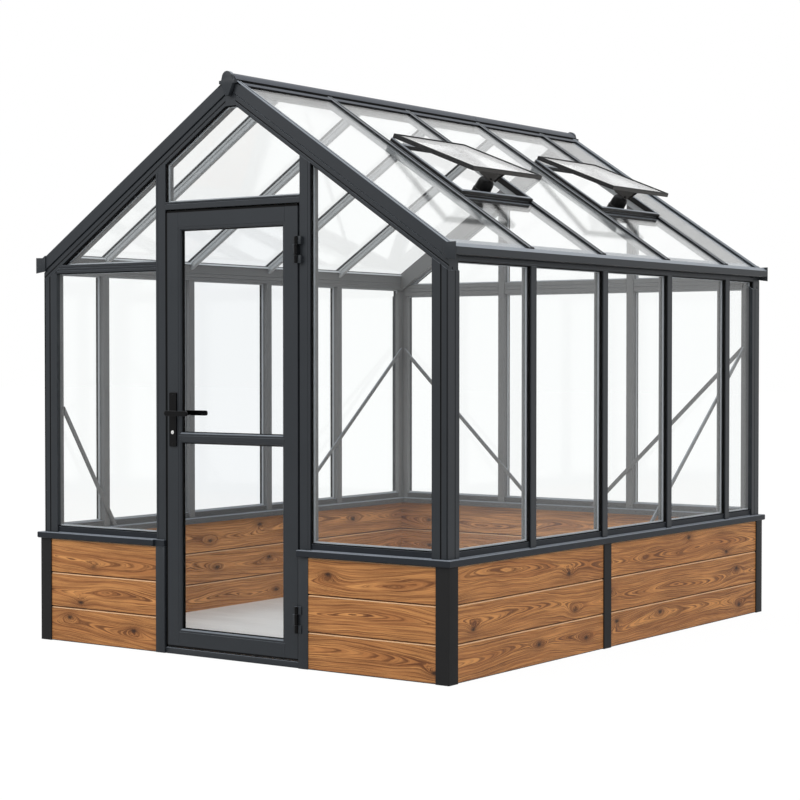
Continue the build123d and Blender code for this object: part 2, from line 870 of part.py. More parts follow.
with BuildPart() as roof_glass_right:
    for bay, (pane_start, pane_end) in enumerate(roof_panes, start=1):
        if bay in vent_bays:
            above_vent = [
                (ridge_glass_gap, roof_line(ridge_glass_gap)), slope_point(curb_low, 0),
                slope_point(curb_low, glass_thickness),
                (ridge_glass_gap, roof_line(ridge_glass_gap, roof_glass_rise)),
            ]
            below_vent = [
                slope_point(curb_high, 0), (roof_glass_end, roof_line(roof_glass_end)),
                (roof_glass_end, roof_line(roof_glass_end, roof_glass_rise)),
                slope_point(curb_high, glass_thickness),
            ]
            across(above_vent, pane_start, pane_end)
            across(below_vent, pane_start, pane_end)
        else:
            across(
                roof_band(ridge_glass_gap, roof_glass_end, 0, roof_glass_rise), pane_start, pane_end
            )
roof_glass_right.part.label = "roof_glass_right"
export_step(roof_glass_right.part, "parts/roof_glass_right.step")

# ---------------------------------------------------------------- braces


def brace_outline(top_a, top_z, foot_a):
    """Outline of a flat brace from a post face at top_a down to the cap rail at foot_a."""
    run = foot_a - top_a
    fall = top_z - cap_top
    length = math.hypot(run, fall)
    upright = brace_width * length / abs(run)
    level = math.copysign(brace_width * length / fall, run)
    return [(top_a, top_z), (top_a, top_z - upright), (foot_a - level, cap_top), (foot_a, cap_top)]


with BuildPart() as side_braces:
    rear = brace_outline(corner_y, brace_rear_height, corner_y - brace_rear_run)
    front = brace_outline(-corner_y, brace_front_height, brace_front_run - corner_y)
    along(rear, wall_post_x - brace_thickness, wall_post_x)
    along(rear, -wall_post_x, brace_thickness - wall_post_x)
    along(front, -wall_post_x, brace_thickness - wall_post_x)
side_braces.part.label = "side_braces"
export_step(side_braces.part, "parts/side_braces.step")

with BuildPart() as back_braces:
    across(
        brace_outline(corner_x, brace_rear_height, corner_x - brace_gable_run),
        gable_post_y - brace_thickness, gable_post_y,
    )
    mirror(about=Plane.YZ)
back_braces.part.label = "back_braces"
export_step(back_braces.part, "parts/back_braces.step")

# ---------------------------------------------------------------- door leaf

leaf_half = door_half - door_gap
stile_x = leaf_half - door_stile_width
handle_x = handle_plate_inset + handle_plate_width / 2 - leaf_half
mid_rail_low = door_mid_rail_middle - door_mid_rail_height / 2
mid_rail_high = door_mid_rail_middle + door_mid_rail_height / 2
low_pane = (door_leaf_bottom + door_bottom_rail_height, mid_rail_low)
high_pane = (mid_rail_high, door_leaf_top - door_top_rail_height)

with BuildPart() as door_stiles:
    block(stile_x, leaf_half, door_face, door_back, door_leaf_bottom, door_leaf_top)
    mirror(about=Plane.YZ)
    with Locations(Plane.XZ.offset(-door_back)):
        with Locations((handle_x, handle_height)):
            Cylinder(
                spindle_radius + spindle_bore_clearance, 2 * door_leaf_thickness, mode=Mode.SUBTRACT
            )
door_stiles.part.label = "door_stiles"
export_step(door_stiles.part, "parts/door_stiles.step")

with BuildPart() as door_rails:
    for rail_low, rail_high in (
        (door_leaf_bottom, low_pane[0]), (mid_rail_low, mid_rail_high), (high_pane[1], door_leaf_top)
    ):
        block(-stile_x, stile_x, door_face, door_back, rail_low, rail_high)
door_rails.part.label = "door_rails"
export_step(door_rails.part, "parts/door_rails.step")

door_middle = (door_face + door_back) / 2
with BuildPart() as door_glass:
    for pane_low, pane_high in (low_pane, high_pane):
        block(
            -stile_x, stile_x,
            door_middle - glass_thickness / 2, door_middle + glass_thickness / 2,
            pane_low, pane_high,
        )
door_glass.part.label = "door_glass"
export_step(door_glass.part, "parts/door_glass.step")

# ---------------------------------------------------------------- hinges

hinge_x = door_half - door_gap / 2
base_post_face = door_base_post_recess - base_y
hinge_y = base_post_face - hinge_face_clearance - hinge_radius
knuckle_half = hinge_knuckle_length / 2
hinge_half = hinge_length / 2
plate_front = hinge_y + hinge_pin_radius

with BuildPart() as hinge_frames:
    for hinge_z, post_face in ((hinge_low_height, base_post_face), (hinge_high_height, -frame_y)):
        with BuildSketch(Plane.XY.offset(hinge_z - hinge_half)) as pin_section:
            with Locations((hinge_x, hinge_y)):
                Circle(hinge_pin_radius)
        extrude(pin_section.sketch, amount=hinge_length)
        outer_length = hinge_half - knuckle_half - hinge_knuckle_gap
        for low in (hinge_z - hinge_half, hinge_z + hinge_half - outer_length):
            with BuildSketch(Plane.XY.offset(low)) as knuckle_section:
                with Locations((hinge_x, hinge_y)):
                    Circle(hinge_radius)
            extrude(knuckle_section.sketch, amount=outer_length)
            block(
                door_half, hinge_x + hinge_plate_reach, plate_front, post_face, low, low + outer_length
            )
hinge_frames.part.label = "hinge_frames"
export_step(hinge_frames.part, "parts/hinge_frames.step")

with BuildPart() as hinge_leaves:
    for hinge_z in (hinge_low_height, hinge_high_height):
        with BuildSketch(Plane.XY.offset(hinge_z - knuckle_half)) as knuckle_section:
            with Locations((hinge_x, hinge_y)):
                Circle(hinge_radius)
        extrude(knuckle_section.sketch, amount=hinge_knuckle_length)
        block(
            hinge_x - hinge_plate_reach, leaf_half,
            plate_front, door_face, hinge_z - knuckle_half, hinge_z + knuckle_half,
        )
        with Locations((hinge_x, hinge_y, hinge_z)):
            Cylinder(
                hinge_pin_radius + hinge_running_clearance, hinge_length, mode=Mode.SUBTRACT
            )
hinge_leaves.part.label = "hinge_leaves"
export_step(hinge_leaves.part, "parts/hinge_leaves.step")

# ---------------------------------------------------------------- handle

plate_high = handle_height + handle_plate_length / 2 - handle_plate_drop
plate_low = plate_high - handle_plate_length

with BuildPart() as handle_plates:
    for plate_near, plate_far in (
        (door_face - handle_plate_thickness, door_face), (door_back, door_back + handle_plate_thickness)
    ):
        block(
            handle_x - handle_plate_width / 2, handle_x + handle_plate_width / 2,
            plate_near, plate_far, plate_low, plate_high,
        )
    with Locations(Plane.XZ.offset(-door_back)):
        with Locations((handle_x, handle_height)):
            Cylinder(
                spindle_radius + hinge_running_clearance, 4 * door_leaf_thickness, mode=Mode.SUBTRACT
            )
handle_plates.part.label = "handle_plates"
export_step(handle_plates.part, "parts/handle_plates.step")

lever_front = door_face - handle_plate_thickness - lever_reach
lever_back = door_back + handle_plate_thickness + lever_reach

with BuildPart() as door_lever:
    with BuildSketch(Plane.XZ.offset(-lever_back)) as spindle_section:
        with Locations((handle_x, handle_height)):
            Circle(spindle_radius)
    extrude(spindle_section.sketch, amount=lever_back - lever_front)
    for neck_start, neck_end in (
        (lever_front, door_face - handle_plate_thickness - lever_neck_gap),
        (door_back + handle_plate_thickness + lever_neck_gap, lever_back),
    ):
        with BuildSketch(Plane.XZ.offset(-neck_end)) as neck_section:
            with Locations((handle_x, handle_height)):
                Circle(lever_neck_radius)
        extrude(neck_section.sketch, amount=neck_end - neck_start)
    for bar_front in (lever_front, lever_back - lever_thickness):
        block(
            handle_x - lever_height / 2, handle_x + lever_length,
            bar_front, bar_front + lever_thickness,
            handle_height - lever_height / 2, handle_height + lever_height / 2,
        )
door_lever.part.label = "door_lever"
export_step(door_lever.part, "parts/door_lever.step")

print("hinge axis", hinge_x, hinge_y, "lever axis", handle_x, handle_height)
print("door leaf", door_leaf_bottom, door_leaf_top, "face", door_face, "apex", roof_apex)
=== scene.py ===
"""Looks of the glass greenhouse: finishes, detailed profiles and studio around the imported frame.

Every size is in metres, in the frame's own axes: X across the house, Y along it with the door at
-Y, Z up from the ground.
"""

import logging
import math
from dataclasses import dataclass, field, replace
from enum import Enum
from typing import Optional, Sequence, Union

import bmesh
import bpy
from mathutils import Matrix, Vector


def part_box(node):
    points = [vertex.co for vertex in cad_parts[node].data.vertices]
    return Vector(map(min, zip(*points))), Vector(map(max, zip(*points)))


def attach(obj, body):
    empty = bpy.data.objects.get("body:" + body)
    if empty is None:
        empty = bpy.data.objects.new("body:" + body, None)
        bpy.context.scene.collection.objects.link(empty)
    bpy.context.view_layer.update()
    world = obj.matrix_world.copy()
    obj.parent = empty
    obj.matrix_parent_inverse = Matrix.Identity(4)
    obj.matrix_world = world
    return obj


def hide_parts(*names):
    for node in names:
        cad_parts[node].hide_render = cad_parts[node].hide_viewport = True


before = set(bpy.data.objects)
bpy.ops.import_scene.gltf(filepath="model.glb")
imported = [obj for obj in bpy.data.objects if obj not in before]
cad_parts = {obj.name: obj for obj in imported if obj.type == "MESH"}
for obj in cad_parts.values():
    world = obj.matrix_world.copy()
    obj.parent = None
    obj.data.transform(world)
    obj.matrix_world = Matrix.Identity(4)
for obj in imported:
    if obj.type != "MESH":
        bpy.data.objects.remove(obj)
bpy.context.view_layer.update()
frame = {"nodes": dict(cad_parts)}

log = logging.getLogger("greenhouse")

Number = Union[int, float]
Outline = list[tuple[float, float]]
Profile = Sequence[tuple[float, float]]
Colour = tuple[float, float, float]
Material = bpy.types.Material
X_AXIS = Vector((1, 0, 0))
Y_AXIS = Vector((0, 1, 0))
Z_AXIS = Vector((0, 0, 1))
WHITE = (1.0, 1.0, 1.0, 1.0)


class Slot(Enum):
    """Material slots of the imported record."""

    FRAME = "anthracite_aluminium"
    BOARDS = "cedar_boards"
    GLASS = "clear_glass"
    PAVING = "pale_paving"
    FITTINGS = "black_fittings"


class Body(Enum):
    """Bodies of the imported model."""

    HOUSE = "house"
    DOOR = "door"
    LEVER = "lever"


# ---- shader graphs


class Field:
    """One output socket of a shader graph, on which Python arithmetic adds Math nodes."""

    def __init__(self, graph: "Graph", socket: bpy.types.NodeSocket) -> None:
        """Wrap a socket of a graph."""
        self.graph = graph
        self.socket = socket

    def maths(self, operation: str, *others: "Operand") -> "Field":
        """The result of a Math node with this field as its first value."""
        return self.graph.maths(operation, self, *others)

    def __add__(self, other: "Operand") -> "Field":
        """Sum."""
        return self.maths("ADD", other)

    __radd__ = __add__

    def __mul__(self, other: "Operand") -> "Field":
        """Product."""
        return self.maths("MULTIPLY", other)

    __rmul__ = __mul__

    def __sub__(self, other: "Operand") -> "Field":
        """Difference."""
        return self.maths("SUBTRACT", other)

    def __rsub__(self, other: "Operand") -> "Field":
        """Difference from a value on the left."""
        return self.graph.maths("SUBTRACT", other, self)

    def __truediv__(self, other: "Operand") -> "Field":
        """Quotient."""
        return self.maths("DIVIDE", other)

    def __pow__(self, other: "Operand") -> "Field":
        """Power."""
        return self.maths("POWER", other)

    def __abs__(self) -> "Field":
        """Distance from zero."""
        return self.maths("ABSOLUTE")

    def fraction(self) -> "Field":
        """The part after the decimal point."""
        return self.maths("FRACT")

    def bell(self, spread: float) -> "Field":
        """A hump of height 1 at zero that falls away over the spread."""
        scaled = self / spread
        return (-1.0 * scaled * scaled).maths("EXPONENT")

    def step(self, low: float, high: float) -> "Field":
        """A smooth step.

        Args:
            low: Where it is 0.
            high: Where it is 1, which may lie below low.

        Returns:
            The step, from 0 to 1.
        """
        rising = low < high
        sockets = {
            "Value": self, "From Min": min(low, high), "From Max": max(low, high),
            "To Min": 0.0 if rising else 1.0, "To Max": 1.0 if rising else 0.0,
        }
        return self.graph.node("ShaderNodeMapRange", {"interpolation_type": "SMOOTHSTEP"}, sockets)["Result"]


Operand = Union[Field, Number]
SocketValue = Union[Field, Number, Sequence[float]]


class Made:
    """A node that was just added, which gives its outputs as fields."""

    def __init__(self, graph: "Graph", node: bpy.types.Node) -> None:
        """Wrap a node of a graph."""
        self.graph = graph
        self.raw = node

    def __getitem__(self, output: Union[str, int]) -> Field:
        """The output with that name or place."""
        return Field(self.graph, self.raw.outputs[output])


class Graph:
    """The node tree of one material or world."""

    def __init__(self, owner: Union[Material, bpy.types.World], output: str) -> None:
        """Empty the owner's tree and add its output node.

        Args:
            owner: The material or world.
            output: Type of the output node.
        """
        owner.use_nodes = True
        self.tree = owner.node_tree
        self.tree.nodes.clear()
        self.output = self.tree.nodes.new(output)

    def node(
        self, kind: str, settings: Optional[dict] = None,
        sockets: Optional[dict[Union[str, int], SocketValue]] = None,
    ) -> Made:
        """Add a node.

        Args:
            kind: The node's type.
            settings: Its properties, which are set first.
            sockets: Values or links of its inputs, by name or place.

        Returns:
            The node, ready to give its outputs.
        """
        node = self.tree.nodes.new(kind)
        for key, value in (settings or {}).items():
            setattr(node, key, value)
        for key, value in (sockets or {}).items():
            if isinstance(value, Field):
                self.tree.links.new(value.socket, node.inputs[key])
            else:
                node.inputs[key].default_value = value
        return Made(self, node)

    def maths(self, operation: str, *values: Operand) -> Field:
        """The result of a Math node with these values in order."""
        return self.node("ShaderNodeMath", {"operation": operation}, dict(enumerate(values)))["Value"]

    def blend(self, factor: Operand, first: SocketValue, second: SocketValue) -> Field:
        """Two colours mixed, of which the second has this share."""
        sides = {0: factor, 6: self._colour(first), 7: self._colour(second)}
        return self.node("ShaderNodeMix", {"data_type": "RGBA"}, sides)[2]

    @staticmethod
    def _colour(value: SocketValue) -> SocketValue:
        """A colour value with its alpha, or the field itself."""
        return value if isinstance(value, Field) else (*value[:3], 1.0)

    def vector(self, x: Operand, y: Operand, z: Operand) -> Field:
        """Join three numbers into a vector."""
        return self.node("ShaderNodeCombineXYZ", None, {0: x, 1: y, 2: z})["Vector"]

    def split(self, vector: Field) -> Made:
        """The three numbers of a vector."""
        return self.node("ShaderNodeSeparateXYZ", None, {0: vector})

    def noise(self, place: Field, scale: float, detail: float = 2.0, roughness: float = 0.5) -> Field:
        """Noise from 0 to 1, with its features per unit, its octaves and the share that each keeps."""
        sockets = {"Vector": place, "Scale": scale, "Detail": detail, "Roughness": roughness}
        return self.node("ShaderNodeTexNoise", None, sockets)["Fac"]

    def place(self) -> Field:
        """Position in the object's own axes."""
        return self.node("ShaderNodeTexCoord")["Object"]

    def leaning(self, low: float, high: float) -> Field:
        """A step from 0 to 1 as the height part of the face's normal goes from low to high."""
        normal = self.node("ShaderNodeNewGeometry")["Normal"]
        return self.split(normal)[2].step(low, high)

    def bump(self, height: Field, distance: float) -> Field:
        """Normal of a surface with this relief."""
        return self.node("ShaderNodeBump", None, {"Height": height, "Distance": distance})["Normal"]

    def principled(self, sockets: dict[str, SocketValue]) -> Field:
        """The Principled shader with these sockets."""
        return self.node("ShaderNodeBsdfPrincipled", None, sockets)["BSDF"]

    def mixed(self, factor: Operand, first: Field, second: Field) -> Field:
        """Two shaders, of which the second has this share."""
        return self.node("ShaderNodeMixShader", None, {0: factor, 1: first, 2: second})["Shader"]

    def finish(self, shader: Field) -> None:
        """Send a shader to the output."""
        self.tree.links.new(shader.socket, self.output.inputs["Surface"])


# ---- finishes


@dataclass(frozen=True)
class Shell:
    """The skin of glass round the house, which parts the outside of the frame from the inside."""

    half_x: float
    half_y: float
    apex: float
    slope: float
    edge: float = 0.004

    def inside(self, place: Field) -> Field:
        """Tell the inside of the glass from the outside.

        Args:
            place: The point in the house's own frame.

        Returns:
            1 inside the glass and 0 outside it.
        """
        split = place.graph.split(place)
        across = abs(split[0]).step(self.half_x, self.half_x - self.edge)
        length = abs(split[1]).step(self.half_y, self.half_y - self.edge)
        roof = (split[2] + abs(split[0]) * self.slope).step(self.apex, self.apex - self.edge)
        return across * length * roof


class Finish:
    """A finish, whose material is made from the shader that a subclass describes."""

    name: str

    def shader(self, graph: Graph) -> Field:
        """The finish's shader, built in its graph."""
        raise NotImplementedError

    def material(self) -> Material:
        """A new material with this finish."""
        material = bpy.data.materials.new(self.name)
        graph = Graph(material, "ShaderNodeOutputMaterial")
        graph.finish(self.shader(graph))
        return material


@dataclass(frozen=True)
class PowderCoat(Finish):
    """Textured powder coating on aluminium or steel, with painted light: paler on faces that look up, and
    paler behind the glass.
    """

    name: str
    colour: Colour
    # Painted light: the pale tint blended onto faces that look up.
    top_light_paint: Colour
    # Painted haze: the paler colour of parts behind the glass, for the light and haze seen through it.
    painted_haze: Colour
    shell: Optional[Shell] = None
    roughness: float = 0.40
    gloss: float = 0.18
    cloud: float = 0.10
    cloud_scale: float = 7.0
    top_light_mottle: float = 0.25
    rough_cloud: float = 0.08
    grain_scale: float = 1400.0
    grain_depth: float = 0.00006

    def shader(self, graph: Graph) -> Field:
        """The coating's shader, built in its graph."""
        place = graph.place()
        cloud = graph.noise(place, self.cloud_scale, 3.0)
        grain = graph.noise(place, self.grain_scale, 1.0)
        pale = tuple(channel * (1 + self.cloud) for channel in self.colour)
        deep = tuple(channel * (1 - self.cloud) for channel in self.colour)
        ground = graph.blend(cloud, deep, pale)
        # Painted haze: parts behind the glass are blended to a paler colour, standing in for the light and
        # haze seen through the glass.
        if self.shell:
            ground = graph.blend(self.shell.inside(place), ground, self.painted_haze)
        # Painted light: faces that look up are blended towards the pale tint, mottled by the cloud noise.
        top_light_share = graph.leaning(0.2, 0.8) * (1 - self.top_light_mottle + cloud * self.top_light_mottle)
        return graph.principled({
            "Base Color": graph.blend(top_light_share, ground, self.top_light_paint),
            "Roughness": self.roughness + (cloud - 0.5) * self.rough_cloud,
            "Specular IOR Level": self.gloss,
            "Normal": graph.bump(grain, self.grain_depth),
        })


@dataclass(frozen=True)
class ClearGlass(Finish):
    """Clear float glass with a soft pale bloom that grows towards grazing angles."""

    name: str = "clear_float_glass"
    tint: Colour = (0.992, 0.997, 0.996)
    head_on: float = 0.006
    haze: float = 0.034
    haze_scale: float = 1.1
    grazing: float = 5.5
    softness: float = 0.06

    def shader(self, graph: Graph) -> Field:
        """The panes' shader, built in its graph."""
        facing = graph.node("ShaderNodeLayerWeight", None, {"Blend": 0.5})["Facing"]
        patches = graph.noise(graph.place(), self.haze_scale, 2.0)
        sheen = self.head_on + self.haze * patches + facing ** self.grazing
        bloom = graph.principled({"Base Color": WHITE, "Roughness": self.softness, "Metallic": 1.0})
        through = graph.node("ShaderNodeBsdfTransparent", None, {"Color": (*self.tint, 1.0)})["BSDF"]
        return graph.mixed(sheen, through, bloom)


@dataclass(frozen=True)
class CedarGrain(Finish):
    """Oiled cedar with flame-shaped grain, streaks and knots, read from each board's grain attribute."""

    name: str = "oiled_cedar"
    light: Colour = (0.760, 0.355, 0.118)
    middle: Colour = (0.450, 0.182, 0.058)
    dark: Colour = (0.120, 0.038, 0.012)
    knot: Colour = (0.040, 0.016, 0.007)
    # Painted highlight: the pale tint of faces that look up, such as the chamfers.
    chamfer_highlight: Colour = (0.90, 0.60, 0.36)
    ring: float = 0.0047
    flame_length: float = 0.72
    flame_depth: float = 0.032
    flame_base: float = 0.012
    flame_sweep: float = 0.046
    board_height: float = 0.165
    knot_spacing: float = 0.44
    knot_radius: float = 0.0150
    knot_stretch: float = 1.9
    knot_wobble: float = 0.012
    swirl_reach: float = 0.028
    swirl_pull: float = 0.030
    roughness: float = 0.60
    gloss: float = 0.25
    relief: float = 0.0005

    def knots(self, graph: Graph, along: Field, across: Field, seed: Field) -> tuple[Field, Field]:
        """Place a board's knots, at most one in each stretch of it.

        Args:
            graph: The graph that they are built in.
            along: Distance along the board.
            across: Height on the board.
            seed: The board's seed.

        Returns:
            How far the grain swirls round a knot, and the knots themselves, both from 0 to 1.
        """
        cell = along / self.knot_spacing + seed * 13.0
        ticks = cell.fraction()
        order = cell - ticks
        chance = graph.noise(graph.vector(order * 7.31, seed * 23.0, 3.0), 1.0, 0.0)
        height = graph.noise(graph.vector(order * 5.17, seed * 31.0, 9.0), 1.0, 0.0)
        reach = (ticks - 0.5 - (chance - 0.5) * 0.5) * (self.knot_spacing / self.knot_stretch)
        rise = across - self.board_height * (0.5 + (height - 0.5) * 1.5)
        uneven = graph.noise(graph.vector(along * 70.0, across * 70.0, seed), 1.0, 2.0) - 0.5
        distance = (reach * reach + rise * rise) ** 0.5 + uneven * self.knot_wobble
        present = chance.step(0.42, 0.48)
        swirl = distance.bell(self.swirl_reach) * present
        return swirl, distance.step(self.knot_radius, self.knot_radius * 0.10) * present

    def rings(self, graph: Graph, along: Field, across: Field, seed: Field, swirl: Field) -> Field:
        """Count the growth rings, cut by the saw into flames.

        Args:
            graph: The graph that they are built in.
            along: Distance along the board.
            across: Height on the board.
            seed: The board's seed.
            swirl: How far the grain swirls round a knot.

        Returns:
            The number of the ring at a point, with its fraction.
        """
        drift = graph.noise(graph.vector(along * 0.9, seed * 3.1, 0.0), 1.0, 1.0) - 0.5
        ragged = graph.noise(graph.vector(along * 9.0, across * 70.0, seed * 5.0), 1.0, 3.0, 0.6) - 0.5
        sweep = graph.noise(graph.vector(along * 2.6, across * 9.0, seed * 8.0), 1.0, 2.0) - 0.5
        heart = across - self.board_height * (0.5 + 0.8 * drift) + sweep * self.flame_sweep
        ramp = abs((along / (2 * self.flame_length) + seed * 3.7).fraction() - 0.5) * 2.0
        depth = self.flame_base + self.flame_depth * ramp
        radius = (heart * heart + depth * depth) ** 0.5
        return (radius * (1.0 + radius * 5.0) - swirl * self.swirl_pull) / self.ring + ragged * 0.8

    def shader(self, graph: Graph) -> Field:
        """The boards' shader, built in its graph."""
        board = graph.split(graph.node("ShaderNodeAttribute", {"attribute_name": GRAIN})["Vector"])
        along, across, seed = board[0], board[1], board[2]
        swirl, knot = self.knots(graph, along, across, seed)
        rings = self.rings(graph, along, across, seed, swirl)
        phase = rings.fraction()
        late = phase.step(0.38, 0.86) * phase.step(1.0, 0.92)
        streaks = graph.noise(graph.vector(along * 1.7, rings * 0.34, seed * 20.0), 1.0, 4.0, 0.62)
        strands = graph.noise(graph.vector(along * 2.6, rings * 1.10, seed * 33.0), 1.0, 4.0, 0.65)
        fibres = graph.noise(graph.vector(along * 14.0, across * 520.0, seed * 40.0), 1.0, 2.0)
        weight = graph.noise(graph.vector(along * 3.4, across * 26.0, seed * 9.0), 1.0, 2.0)
        tone = graph.noise(graph.vector(seed * 17.0, 2.0, 5.0), 1.0, 0.0)

        ground = graph.blend(streaks.step(0.36, 0.66), self.light, self.middle)
        ground = graph.blend(tone.step(0.25, 0.75) * 0.25, ground, self.middle)
        marked = 0.16 + 0.70 * weight.step(0.34, 0.64) + swirl * 0.55
        for share in (
            late * marked, strands.step(0.46, 0.64) * 0.84, fibres.step(0.50, 0.85) * 0.25, swirl * 0.50,
        ):
            ground = graph.blend(share, ground, self.dark)
        ground = graph.blend(knot, ground, self.knot)
        # Painted highlight: faces that look up, such as the chamfers, are blended towards a pale tint.
        ground = graph.blend(graph.leaning(0.2, 0.6) * 0.9, ground, self.chamfer_highlight)
        # Painted shade: faces that look down are blended to the knots' dark colour.
        ground = graph.blend(graph.leaning(-0.2, -0.6), ground, self.knot)
        return graph.principled({
            "Base Color": ground,
            "Roughness": self.roughness - late * 0.10 + (fibres - 0.5) * 0.10,
            "Specular IOR Level": self.gloss,
            "Normal": graph.bump(late * 0.5 + fibres * 0.35 - knot * 0.4, self.relief),
        })


@dataclass(frozen=True)
class PalePaving(Finish):
    """Pale trowelled paving with faint streaks."""

    name: str = "pale_paving"
    pale: Colour = (0.97, 0.965, 0.95)
    shade: Colour = (0.83, 0.825, 0.81)
    roughness: float = 0.72
    relief: float = 0.0008

    def shader(self, graph: Graph) -> Field:
        """The floor's shader, built in its graph."""
        place = graph.place()
        split = graph.split(place)
        streaks = graph.noise(graph.vector(split[0] * 1.5, split[1] * 7.0, split[2]), 1.0, 4.0)
        fine = graph.noise(place, 160.0, 3.0)
        colour = graph.blend(streaks.step(0.25, 0.75), self.shade, self.pale)
        return graph.principled({
            "Base Color": graph.blend(fine.step(0.3, 0.8) * 0.18, colour, self.shade),
            "Roughness": self.roughness + (fine - 0.5) * 0.2,
            "Normal": graph.bump(fine * 0.6 + streaks * 0.4, self.relief),
        })


@dataclass(frozen=True)
class BareSteel(Finish):
    """Turned steel of the lock cylinder."""

    name: str = "turned_steel"
    colour: Colour = (0.78, 0.78, 0.76)
    roughness: float = 0.28

    def shader(self, graph: Graph) -> Field:
        """The lock cylinders' shader, built in its graph."""
        marks = graph.noise(graph.place(), 900.0, 1.0)
        return graph.principled({
            "Base Color": (*self.colour, 1.0), "Metallic": 1.0, "Roughness": self.roughness + marks * 0.12,
        })


GRAIN = "board_grain"
# Painted light: the pale tint that faces looking up take.
PAINTED_TOP_LIGHT = (0.31, 0.345, 0.39)
# Painted haze: the paler colour of frame parts behind the glass.
PAINTED_GLASS_HAZE = (0.165, 0.170, 0.174)
ANTHRACITE = (0.0275, 0.0315, 0.0365)
INK = (0.0038, 0.0038, 0.0042)
DOOR_GLASS = ClearGlass("clear_door_glass", tint=(0.958, 0.966, 0.973), haze=0.010)
# Painted light: a paler copy of the cedar for the board linings, which stand in the shade behind the boards.
LIGHTENED_SHADE_CEDAR = CedarGrain(
    "lightened_shade_cedar", light=(0.80, 0.385, 0.135), middle=(0.51, 0.215, 0.070), dark=(0.15, 0.052, 0.018),
    knot=(0.060, 0.028, 0.014),
)


@dataclass
class Finishes:
    """The materials, made once and shared by all assemblies."""

    frame: Material
    plinth: Material
    rails: Material
    crown: Material
    leaf: Material
    bars: Material
    vents: Material
    curbs: Material
    zinc: Material
    black: Material
    rubber: Material
    painted_highlight_rubber: Material
    glass: Material = field(default_factory=ClearGlass().material)
    door_glass: Material = field(default_factory=DOOR_GLASS.material)
    boards: Material = field(default_factory=CedarGrain().material)
    linings: Material = field(default_factory=LIGHTENED_SHADE_CEDAR.material)
    paving: Material = field(default_factory=PalePaving().material)
    steel: Material = field(default_factory=BareSteel().material)

    @classmethod
    def mixed(cls, shell: Shell) -> "Finishes":
        """Mix the finishes for a house.

        Args:
            shell: Its skin of glass.

        Returns:
            The finishes.
        """
        # Painted light: each coat's third colour is blended onto faces that look up, and its fourth onto
        # parts behind the glass where the coat has a shell.
        coats = {
            "frame": PowderCoat("anthracite_powder_coat", ANTHRACITE, PAINTED_TOP_LIGHT, PAINTED_GLASS_HAZE, shell),
            "plinth": PowderCoat(
                "charcoal_powder_coat", (0.0245, 0.0245, 0.0250), PAINTED_TOP_LIGHT, PAINTED_GLASS_HAZE, shell, gloss=0.04,
            ),
            "rails": PowderCoat(
                "rail_powder_coat", (0.0215, 0.0250, 0.0305), (0.27, 0.30, 0.345), (0.095, 0.098, 0.099),
                shell, gloss=0.10,
            ),
            "crown": PowderCoat(
                "ridge_powder_coat", (0.020, 0.023, 0.028), (0.090, 0.103, 0.128), PAINTED_GLASS_HAZE,
            ),
            "leaf": PowderCoat("door_powder_coat", ANTHRACITE, (0.20, 0.225, 0.255), ANTHRACITE),
            # Painted light: the bars are near black outside the glass but pale behind it and on faces that
            # look up.
            "bars": PowderCoat("roof_bar_powder_coat", INK, (0.40, 0.43, 0.47), (0.42, 0.44, 0.455), shell),
            "vents": PowderCoat(
                "vent_powder_coat", (0.010, 0.0102, 0.0110), (0.020, 0.021, 0.022), PAINTED_GLASS_HAZE,
            ),
            "curbs": PowderCoat("curb_powder_coat", INK, PAINTED_TOP_LIGHT, INK),
            "zinc": PowderCoat("zinc_grey_coat", (0.046, 0.043, 0.041), (0.12, 0.115, 0.11), PAINTED_GLASS_HAZE),
            "black": PowderCoat(
                "black_powder_coat", INK, (0.05, 0.05, 0.053), INK, roughness=0.34, gloss=0.09,
            ),
            "rubber": PowderCoat(
                "black_glazing_rubber", (0.003, 0.003, 0.003), (0.006, 0.006, 0.006), INK,
                roughness=0.75, gloss=0.1, cloud=0.2,
            ),
            # Painted highlight: pale gaskets and strips whose colour stands in for the light along the
            # glass's edges.
            "painted_highlight_rubber": PowderCoat(
                "highlight_glazing_gasket", (0.46, 0.49, 0.52), (0.62, 0.65, 0.68), PAINTED_GLASS_HAZE,
                roughness=0.6, cloud=0.05,
            ),
        }
        return cls(**{name: coat.material() for name, coat in coats.items()})


# ---- mesh drafting


@dataclass(frozen=True)
class Cut:
    """A plane that ends a member."""

    point: Vector
    normal: Vector

    def reach(self, start: Vector, along: Vector) -> float:
        """Distance from start to the plane in the direction along."""
        return (self.point - start).dot(self.normal) / along.dot(self.normal)


End = Union[Cut, float]


def plumb_x(x: float) -> Cut:
    """An upright cut across X."""
    return Cut(Vector((x, 0, 0)), X_AXIS)


def flip(vector: Vector, axes: Sequence[int]) -> Vector:
    """The vector with these axes reversed."""
    return Vector([-value if axis in axes else value for axis, value in enumerate(vector)])


@dataclass(frozen=True)
class Place:
    """Where a member's section lies: its origin and the directions of its width, depth and run."""

    origin: Vector
    width: Vector
    depth: Vector
    run: Vector

    def at(self, a: float, b: float, t: float = 0.0) -> Vector:
        """The point at width a, depth b and distance t along the run."""
        return self.origin + self.width * a + self.depth * b + self.run * t

    def flipped(self, axes: Sequence[int]) -> "Place":
        """A copy with these axes reversed."""
        return Place(*[flip(vector, axes) for vector in (self.origin, self.width, self.depth, self.run)])


def upright(x: float, y: float, width: Vector, depth: Vector) -> Place:
    """A place on the ground whose run goes up."""
    return Place(Vector((x, y, 0)), width, depth, Z_AXIS)


def crosswise(y: float, z: float, width: Vector, depth: Vector) -> Place:
    """A place in the middle of the house whose run goes across it."""
    return Place(Vector((0, y, z)), width, depth, X_AXIS)


